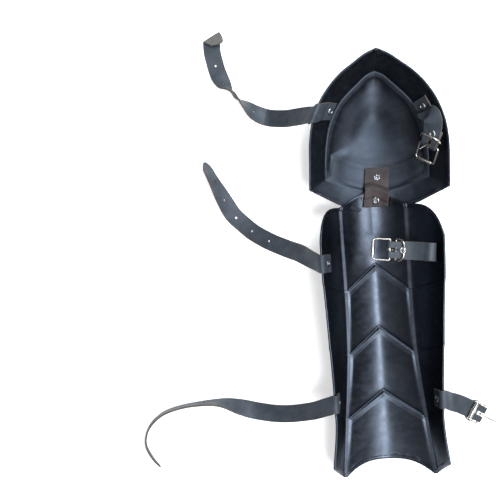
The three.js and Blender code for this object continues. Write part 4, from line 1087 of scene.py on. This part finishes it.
BUCKLE_STRAPS = {
    "knee": {
        "seat": knee_seat(4.95, KNEE_BUCKLE_RIVET), "rivet_at": KNEE_BUCKLE_RIVET, "along_edge": True,
        "keeper_side": 1, "reach": 6 * MM, "drift": -46 * MM, "rise": 24 * MM,
        "frame_turn": -8, "prong_turn": 78, "keeper_turn": 60, "rows": [
            (0.3, 0.2, 0.42, 18), (0.75, 0.3, 0.86, 22), (1, 0.46, 0.97, 24), (0.95, 0.66, 0.78, 26),
            (0.6, 0.85, 0.62, 28), (0.2, 1, 0.48, 30),
        ],
    },
    "upper": {
        "seat": shin_seat(1, -75 * MM, UPPER_BUCKLE_RIVET), "rivet_at": UPPER_BUCKLE_RIVET,
        "keeper_side": 1, "reach": -46 * MM, "drift": 5.5 * MM,
        "rise": 8 * MM, "frame_turn": 0, "prong_turn": 112, "keeper_turn": 38, "rows": [
            (-0.055, 0, 1.55, 0), (-0.01, 0.05, 2.35, 0), (0.1, 0.15, 2.5, 0), (0.24, 0.3, 1.95, 0),
            (0.5, 0.55, 1.35, 0), (1, 1, 1, 0),
        ],
    },
    "lower": {
        "seat": shin_seat(1, -LOWER_STRAP_DOWN), "rivet_at": 16 * MM, "over_rim": True,
        "keeper_side": -1, "reach": 45 * MM, "drift": -22 * MM,
        "rise": -16 * MM, "frame_turn": 156, "prong_turn": 4, "keeper_turn": 38, "rows": [
            (0.18, 0.1, -0.02, 0), (0.42, 0.3, 0.28, 0), (1, 1, 1, 0),
        ],
    },
}


def folded_tip(points, start, near, far):
    """Turns a strap's flat tip back over itself along a crease between two places seen from above."""
    near, far = (start[:2] + np.array(place) for place in (near, far))
    along = unit(far - near)
    past = facing(np.array([-along[1], along[0]]), ALONG)
    beyond = (points[:, :2] - near) @ past
    ahead = (points[:, :2] - near) @ along
    tip = (beyond > 0) & (points[:, 1] > near[1] - STRAP_WIDTH)
    rise = points[:, 2] - LEATHER / 2
    bend = np.minimum(beyond / CREASE_RADIUS, math.pi)
    straight = np.maximum(beyond - math.pi * CREASE_RADIUS, 0)
    reach = (CREASE_RADIUS - rise) * np.sin(bend) - straight
    height = LEATHER / 2 + CREASE_RADIUS - (CREASE_RADIUS - rise) * np.cos(bend) + straight * CREASE_SPRING
    plan = near + along * ahead[:, None] + past * reach[:, None]
    turned_back = np.column_stack([plan, height])
    return np.where(tip[:, None], turned_back, points)


def build_tongue(name, strap, seed):
    seat = strap["seat"]
    below = strap["rivet_at"] + strap["end"]
    turn_over = over_rim(seat)
    start = turn_over[2]
    fixed = wall_stretch(seat, below, HEM_WIDTH + HEM_CLEAR) + turn_over
    places, rolls = course(strap, fixed, start, lambda up: up * start[UP])
    held, freed = below + TURN_START, below + TURN_END
    place, side, along, half = stations_along(places, rolls, seat[1], held, freed)
    left = along[-1] - along
    taper = np.sin(np.minimum(left / TIP_LENGTH, 1) * math.pi / 2) ** 0.8
    half = half * np.where(left < TIP_LENGTH, mix(TIP_BLUNT, 1, taper), 1)
    top, normal, stack = seated(seat, strap["rivet_at"])
    thick = np.cross(unit(np.gradient(place, axis=0)), side)
    grain_up = 1 if thick[round(below / STRAP_STEP / 2)] @ normal > 0 else -1
    points, faces, slots = strap_mesh(place, side, along, half, grain_up, seed)
    if "crease" in strap:
        points = folded_tip(points, start, *strap["crease"])
    piece = add_piece(f"{name}_tongue_leather", points, faces, STRAP_SLOTS, f"{name}_tongue_strap",
                      slots)
    holes = [rivet_hole(top, normal)]
    for k in range(HOLE_COUNT):
        i = int(np.argmin(np.abs(left - HOLE_START - k * HOLE_PITCH)))
        holes.append((place[i], thick[i], HOLE_RADIUS, LEATHER * 3))
    punch(piece, holes)
    build_rivet(f"{name}_strap_rivet", top, normal, stack, seed)


def fold_line():
    """The middle line of a buckle strap's fold in the buckle's own axes."""
    turns = np.radians(np.arange(90, -91, -10))
    line = [[FOLD_RADIUS * math.cos(t), 0, FOLD_RADIUS * math.sin(t)] for t in turns]
    close = FOLD_RADIUS - LEATHER - GAP
    tail = [[-KEEPER_BACK, 0, -FOLD_RADIUS], [-FOLD_RIVET_BACK * 0.78, 0, close], [-FOLD_RETURN, 0, close]]
    samples = curve_through([line[-2], line[-1], *tail], 12)[0]
    return np.vstack([line[:-1], samples[12:]])


def build_buckle_strap(name, strap, seed):
    seat, rivet_at = strap["seat"], strap["rivet_at"]
    along_edge, wraps = strap.get("along_edge"), strap.get("over_rim")
    point, normal, _ = seat[0](rivet_at)
    lift = SEAT_GAP + (HEM_FOLD + GAP if along_edge else 0)
    start, edge = point + normal * (lift + LEATHER / 2), seat[1]
    if along_edge:
        fixed = [start - edge * share * BUCKLE_STRAP_END for share in (-1, -0.33, 0.67)]
        edge = facing(unit(np.cross(normal, edge)), ACROSS)
    else:
        upper_end = HEM_WIDTH + HEM_CLEAR if wraps else rivet_at - BUCKLE_STRAP_START
        fixed = wall_stretch(seat, rivet_at + BUCKLE_STRAP_END, upper_end)
        if wraps:
            turn_over = over_rim(seat)
            fixed += turn_over
            start = turn_over[2]
    places, rolls = course(strap, fixed, start, lambda up: start[UP] + up * strap["rise"])
    held = rivet_at + STRAP_WIDTH if wraps else BUCKLE_TURN
    place, side, along, half = stations_along(places, rolls, edge, held, held + BUCKLE_TURN)
    run = unit(place[-1] - place[-8])
    out = facing(unit(np.cross(run, side[-1])), UP)
    joints = frame["record"]["behaviour"]["joints"]
    pivot = np.array(next(joint for joint in joints if joint["name"] == f"{name}_frame_hinge")["axis"])
    across = pivot * (-1 if pivot @ np.cross(out, run) < 0 else 1)
    run = unit(run - (run @ across) * across)
    out = np.cross(run, across)
    centre = place[-1] - out * FOLD_RADIUS
    swap = -1 if side[-1] @ across < 0 else 1
    fold = placed(fold_line(), run, across, out, centre)[1:]
    full = np.vstack([place, fold])
    sides = np.vstack([side, np.tile(across * swap, (len(fold), 1))])
    lengths = np.r_[0, np.cumsum(np.linalg.norm(np.diff(full, axis=0), axis=1))]
    from_bar = lengths - along[-1]
    narrow = smooth(-15 * MM, -4 * MM, from_bar) * (1 - smooth(14 * MM, 22 * MM, from_bar))
    half = np.r_[half, np.full(len(fold), STRAP_WIDTH / 2)] - BAR_NARROWING * narrow
    thick = np.cross(unit(np.gradient(full, axis=0)), sides)
    grain_up = 1 if thick[len(place) - 3] @ out > 0 else -1
    points, faces, slots = strap_mesh(full, sides, lengths, half, grain_up, seed)
    piece = add_piece(f"{name}_buckle_leather", points, faces, STRAP_SLOTS, f"{name}_buckle_strap",
                      slots)
    top, normal, stack = seated(seat, rivet_at, lift)
    pin = placed([[-FOLD_RIVET_BACK, 0, FOLD_RADIUS + LEATHER / 2]], run, across, out, centre)[0]
    punch(piece, [rivet_hole(top, normal), rivet_hole(pin, out)])
    slot_cut(piece, run, across, out, centre)
    build_rivet(f"{name}_buckle_strap_rivet", top, normal, stack, seed)
    build_rivet(f"{name}_fold_rivet", pin, out, LEATHER * 2 + GAP, seed + 1)
    build_hardware(name, strap, run, across, out, centre)


def slot_cut(piece, run, across, out, centre):
    """The slot in a buckle strap's fold through which the prong turns."""
    height = FOLD_RADIUS * 2 + LEATHER
    corners = [[a, b, c] for a in (-SLOT_BACK, height) for b in (-PRONG_SLOT / 2, PRONG_SLOT / 2)
               for c in (-height, height)]
    cutter = bmesh.new()
    for corner in placed(corners, run, across, out, centre) + ORIGIN:
        cutter.verts.new(corner)
    bmesh.ops.convex_hull(cutter, input=cutter.verts)
    cut_with(piece, cutter)


# Rivets

# Radius and height of a cap, from the floor of its hole out to its underside
CAP_ROWS = np.array([(0, -1.5), (1.35, -1.5), (1.4, 0.1), (1.65, 0.55), (2.2, 0.92), (2.9, 1), (3.55, 0.85),
                     (4, 0.5), (4.2, 0.2), (4.1, 0), (3.4, -0.1)]) * MM
CAP_HOLE = 1.3 * MM
CAP_UNDER = 0.2 * MM
REAR_HEIGHT = RIVET_HEIGHT * 0.8
REAR_ROWS = [(0.72, 0), (0.75, 0.3), (0.62, 0.9), (0.5, 1), (0, 1)]
CLEFT_WIDTH = 0.2


def build_rivet(name, top, normal, stack, seed, outside=True, splits=0, depth=0.0):
    """A tubular rivet: a rolled cap round a hole, its shank, and a small head outside. splits are the
    notches that a rivet gets when its end is spread."""
    foot = -stack - GAP
    cap = GAP
    profile = [(r, cap + z) for r, z in CAP_ROWS] + [(SHANK_RADIUS, cap)]
    if outside:
        profile.append((SHANK_RADIUS, foot))
        profile += [(RIVET_RADIUS * r, foot - REAR_HEIGHT * z) for r, z in REAR_ROWS]
    else:
        profile += [(SHANK_RADIUS, foot + STEEL * 0.5), (0, foot + STEEL * 0.5)]
    turns = np.arange(splits) * 2 * math.pi / max(splits, 1)
    notches = turns + np.random.default_rng(seed).uniform(-0.15, 0.15, splits)

    def shape(radius, height, turn):
        wobble = 1 + 0.03 * np.sin(turn * 2 + seed) + 0.02 * np.sin(turn * 5 + seed * 2)
        is_cap = (height > cap - CAP_UNDER) & (radius > CAP_HOLE)
        radius = np.where(is_cap, radius * wobble, radius)
        for notch in notches:
            away = np.abs((turn - notch + math.pi) % (2 * math.pi) - math.pi)
            cleft = np.exp(-(away / CLEFT_WIDTH) ** 2) * is_cap
            height = height - np.maximum(height - cap, 0) * cleft * 0.85
            radius = radius - (radius - CAP_HOLE) * cleft * depth
        return radius, height

    points, faces = lathe(profile, shape)
    x, y, z = axes_along(normal)
    add_piece(f"{name}_cap", placed(points, x, y, z, top), faces, [RIVET_METAL], name)


# Buckle hardware, in the buckle's own axes: X runs on from the strap, Y along the bar, Z outwards

def arc(x, y, radius, start, end, steps):
    turns = np.radians(np.linspace(start, end, steps))
    return np.stack([x + radius * np.cos(turns), y + radius * np.sin(turns), 0 * turns], axis=-1)


def frame_wire():
    length = BUCKLE_LENGTH - BUCKLE_WIRE
    half = (BUCKLE_WIDTH - BUCKLE_WIRE) / 2
    near, far = BAR_CORNER, length - BUCKLE_CORNER
    path = np.vstack([
        arc(near, -half + BAR_CORNER, BAR_CORNER, 180, 270, 9),
        arc(far, -half + BUCKLE_CORNER, BUCKLE_CORNER, 270, 360, 13),
        arc(far, half - BUCKLE_CORNER, BUCKLE_CORNER, 0, 90, 13),
        arc(near, half - BAR_CORNER, BAR_CORNER, 90, 180, 9),
    ])
    return wire(path, BAR_RADIUS, [0, 0, 1], True)


ROLLER_OPENING = 62


def roller_sheet():
    """A sheet rolled round the far bar, open along one side."""
    inner, outer = BAR_RADIUS + GAP, ROLLER_RADIUS
    turns = np.radians(np.linspace(ROLLER_OPENING / 2, 360 - ROLLER_OPENING / 2, 40))
    half = ROLLER_LENGTH / 2
    lip = 0.25 * MM
    rounded = outer - lip * 0.4
    section = ((rounded, -half), (outer, -half + lip), (outer, half - lip), (rounded, half), (inner, half),
               (inner, -half))
    rings = np.array([[[r * math.cos(t), y, r * math.sin(t)] for r, y in section] for t in turns])
    count, sides = rings.shape[:2]
    faces = [tuple(f) for f in grid_faces(count, sides, 0, False, True)]
    faces += [tuple(range(sides))[::-1], tuple(range((count - 1) * sides, count * sides))]
    return rings.reshape(-1, 3), faces


def prong_wire():
    radius = PRONG_WIRE / 2
    hook = BAR_RADIUS + GAP + radius
    rest = ROLLER_RADIUS + GAP + radius
    turns = np.radians(np.arange(-50, -265, -7))
    curl = np.stack([hook * np.cos(turns), 0 * turns, hook * np.sin(turns)], axis=-1)
    run = [[0, 0, hook], [BUCKLE_LENGTH * 0.3, 0, mix(hook, rest, 0.9)], [BUCKLE_LENGTH * 0.7, 0, rest],
           [BUCKLE_LENGTH + 0.6 * MM, 0, rest - GAP]]
    samples, lengths, _ = curve_through(run, 14)
    path = np.vstack([curl[:-1], samples])
    share = np.r_[np.zeros(len(curl) - 1), lengths / lengths[-1]]
    thickness = radius * (1.08 - 0.34 * smooth(0.35, 1, share))
    return wire(path, thickness, [0, 1, 0])


def keeper_wire():
    radius = KEEPER_WIRE / 2
    half = KEEPER_WIDTH / 2 - radius
    depth = KEEPER_REACH - radius * 2
    turns = np.radians(np.linspace(4, 176, 44))
    deep, wide = np.sin(turns), np.cos(turns)
    bow = np.stack([-2 * MM - (depth - 2 * MM) * deep ** 0.8,
                    half * np.sign(wide) * np.abs(wide) ** 0.6, 0 * turns], axis=-1)
    right = arc(-1.6 * MM, half - 1.6 * MM, 1.6 * MM, 0, 80, 6)
    left = arc(-1.6 * MM, -half + 1.6 * MM, 1.6 * MM, -80, 0, 6)
    bar = [[0, y, 0] for y in np.linspace(-half + 2 * MM, half - 2 * MM, 7)]
    return wire(np.vstack([left, bar, right, bow]), radius, [0, 0, 1], True)


def turned_y(points, degrees, shift=0.0):
    """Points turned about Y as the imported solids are, then moved along X."""
    turn = math.radians(degrees)
    points = np.asarray(points)
    x = points[:, 0] * math.cos(turn) + points[:, 2] * math.sin(turn)
    z = -points[:, 0] * math.sin(turn) + points[:, 2] * math.cos(turn)
    return np.stack([x + shift, points[:, 1], z], axis=-1)


def build_hardware(name, strap, run, across, out, centre):
    far_bar = [BUCKLE_LENGTH - BUCKLE_WIRE, 0, 0]
    keeper_turn = strap["keeper_turn"] * strap["keeper_side"]
    for part, (points, faces), first, turn, shift in (
            ("buckle_frame", frame_wire(), [0, 0, 0], -strap["frame_turn"], 0),
            ("buckle_roller", roller_sheet(), far_bar, -strap["frame_turn"], 0),
            ("buckle_prong", prong_wire(), [0, 0, 0], -strap["prong_turn"], 0),
            ("keeper_ring", keeper_wire(), [0, 0, 0], keeper_turn, -KEEPER_BACK)):
        node = f"{name}_{part}"
        points = placed(turned_y(points + first, turn, shift), run, across, out, centre)
        add_piece(f"{node}_metal", points, faces, [NICKEL], node, body=node)


# Knee tab

def knee_band(x, y):
    """The height of the band between the dome and the knee's lowest point."""
    local = turned(vec(x - KNEE_SHIFT, y + KNEE_OVERLAP, 0), np.array([0.0, 0, 1]), -KNEE_SWIVEL)
    out = np.abs(local[..., 0]) * 2 / KNEE_WIDTH
    near = np.full(out.shape, 12.0)
    far = np.full(out.shape, float(KNEE_CORNER_ROW))
    for _ in range(20):
        place = (near + far) / 2
        inside = knee_line("field", place)["out"] < out
        near, far = np.where(inside, place, near), np.where(inside, far, place)
    field, foot = knee_line("field", near), knee_line("foot", near)
    share = (local[..., 1] / KNEE_HEIGHT - field["up"]) / (foot["up"] - field["up"])
    return mix(field["in"], foot["in"], np.clip(share, -0.2, 1)) * KNEE_DEPTH


def tab_place(along, across):
    y = mix(TAB_ABOVE, -TAB_BELOW, along)
    x = TAB_SHIFT - TAB_LEAN * along + across * TAB_WIDTH / 2
    lane = shin_lane(x, np.minimum(y, 0))
    past_edge = shin_line(0, lane) - y
    hem = HEM_FOLD * (1 - smooth(HEM_WIDTH + HEM_NEAR, HEM_WIDTH + HEM_FAR, past_edge))
    on_shin = shin_plain(lane, np.minimum(y, 0))[..., 2] + hem
    over = smooth(-9 * MM, -1.5 * MM, past_edge)
    return vec(x, y, mix(knee_band(x, y), on_shin, over) + SEAT_GAP + GAP)


def build_tab():
    along = np.linspace(0, 1, 60)[:, None]
    across = np.r_[-1, -0.99, -0.96, np.linspace(-0.9, 0.9, 25), 0.96, 0.99, 1][None, :]
    sag = 0.12 * MM * (1 - across ** 2) * np.sin(along * math.pi * 2.2)
    uneven = 1 + 0.02 * ripple(along * 1.0, np.sign(across) * 3.0, 4, 0.5)
    grid = tab_place(along, across * uneven)
    grid = grid + np.array([0, 0, 1.0]) * sag[..., None] * 0.5
    from_edge = np.minimum((1 - np.abs(across)) * TAB_WIDTH / 2,
                           np.minimum(along, 1 - along) * (TAB_ABOVE + TAB_BELOW))
    soft = 0.35 * MM * (1 - smooth(0, 0.6 * MM, from_edge))
    points, faces = plate(grid, LEATHER - soft, soft)
    total = grid.shape[0] * grid.shape[1]
    slots = [1 if max(f) >= total > min(f) else 0 for f in faces]
    piece = add_piece("knee_tab_leather", points, faces, [TAB_FLESH, TAB_EDGE], "knee_tab",
                      slots)
    holes = []
    stack = LEATHER + SEAT_GAP + GAP * 2 + STEEL
    for name, share, outside, splits, depth in (("tab_rivet_knee", 0.26, True, 6, 0.25),
                                                ("tab_rivet_shin", 0.83, False, 3, 0.8)):
        side = tab_place(np.float64(share), 0.25) - tab_place(np.float64(share), -0.25)
        down = tab_place(np.float64(share - 0.08), 0.0) - tab_place(np.float64(share + 0.08), 0.0)
        normal = facing(unit(np.cross(side, down)), UP)
        top = tab_place(np.float64(share), 0.0) + normal * LEATHER
        holes.append(rivet_hole(top, normal))
        build_rivet(name, top, normal, stack, len(name), outside, splits, depth)
    punch(piece, holes)


# Assembly

build_shin()
build_knee()
build_tab()
for seed, (name, strap) in enumerate(TONGUE_STRAPS.items()):
    build_tongue(name, strap, 20 + seed)
for seed, (name, strap) in enumerate(BUCKLE_STRAPS.items()):
    build_buckle_strap(name, strap, 40 + seed)


# Floor, light and camera

CAMERA_PLACE = ORIGIN + np.array([-0.1092, -0.06107, 0.91104])
CAMERA_TURN = (-0.1536, 2.4507, -3.1932)
CAMERA_LENS = 55.594


LIGHTS = [
    {"name": "key", "place": (0.5, -0.5, 1.7), "aim": (0.05, -0.05, 0), "size": 0.85, "energy": 34,
     "tint": (0.94, 0.97, 1)},
    {"name": "fill", "place": (0.75, 1.0, 1.3), "aim": (0.05, 0.1, 0), "size": 1.1, "energy": 42,
     "tint": (0.88, 0.95, 1)},
]
SKY = [(0, color(0.05, 0.05, 0.055)), (0.55, color(0.12, 0.12, 0.13)), (1, color(0.8, 0.8, 0.8))]
SKY_STRENGTH = 1.1
FLOOR_HALF = 3
FLOOR_GLOW = 0.5


def add_area(name, place, aim, size, energy, tint):
    lamp = bpy.data.lights.new(name, "AREA")
    lamp.shape = "DISK"
    lamp.size = size
    lamp.energy = energy
    lamp.color = tint
    light = bpy.data.objects.new(name, lamp)
    light.location = place
    light.rotation_euler = (Vector(aim) - Vector(place)).to_track_quat("-Z", "Y").to_euler()
    bpy.context.scene.collection.objects.link(light)


def add_floor():
    mesh = bpy.data.meshes.new("floor")
    corners = [(x * FLOOR_HALF, y * FLOOR_HALF, 0) for x, y in ((-1, -1), (1, -1), (1, 1), (-1, 1))]
    mesh.from_pydata(corners, [], [(0, 1, 2, 3)])
    paper = Paint("paper")
    paper.set("Base Color", color(0.86, 0.86, 0.86))
    paper.set("Roughness", 0.95)
    paper.set("Specular IOR Level", 0)
    paper.set("Emission Color", color(1, 1, 1))
    paper.set("Emission Strength", FLOOR_GLOW)
    mesh.materials.append(paper.material)
    floor = bpy.data.objects.new("floor", mesh)
    bpy.context.scene.collection.objects.link(floor)


def add_sky():
    """A soft sky that is brightest overhead."""
    world = bpy.data.worlds.new("studio")
    bpy.context.scene.world = world
    world.use_nodes = True
    nodes, links = world.node_tree.nodes, world.node_tree.links
    place = nodes.new("ShaderNodeTexCoord").outputs["Generated"]
    split = nodes.new("ShaderNodeSeparateXYZ")
    links.new(place, split.inputs[0])
    ramp = nodes.new("ShaderNodeValToRGB")
    stops = ramp.color_ramp.elements
    stops.new(SKY[1][0])
    for stop, (height, tone) in zip(stops, SKY):
        stop.position = height
        stop.color = tone
    links.new(split.outputs["Z"], ramp.inputs[0])
    links.new(ramp.outputs[0], nodes["Background"].inputs[0])
    nodes["Background"].inputs[1].default_value = SKY_STRENGTH


add_floor()
add_sky()
for light in LIGHTS:
    add_area(**light)

camera = bpy.data.objects.new("camera", bpy.data.cameras.new("camera"))
camera.data.lens = CAMERA_LENS
camera.location = Vector(CAMERA_PLACE)
camera.rotation_euler = [math.radians(v) for v in CAMERA_TURN]
bpy.context.scene.collection.objects.link(camera)
bpy.context.scene.camera = camera
bpy.context.scene.view_settings.view_transform = "Standard"
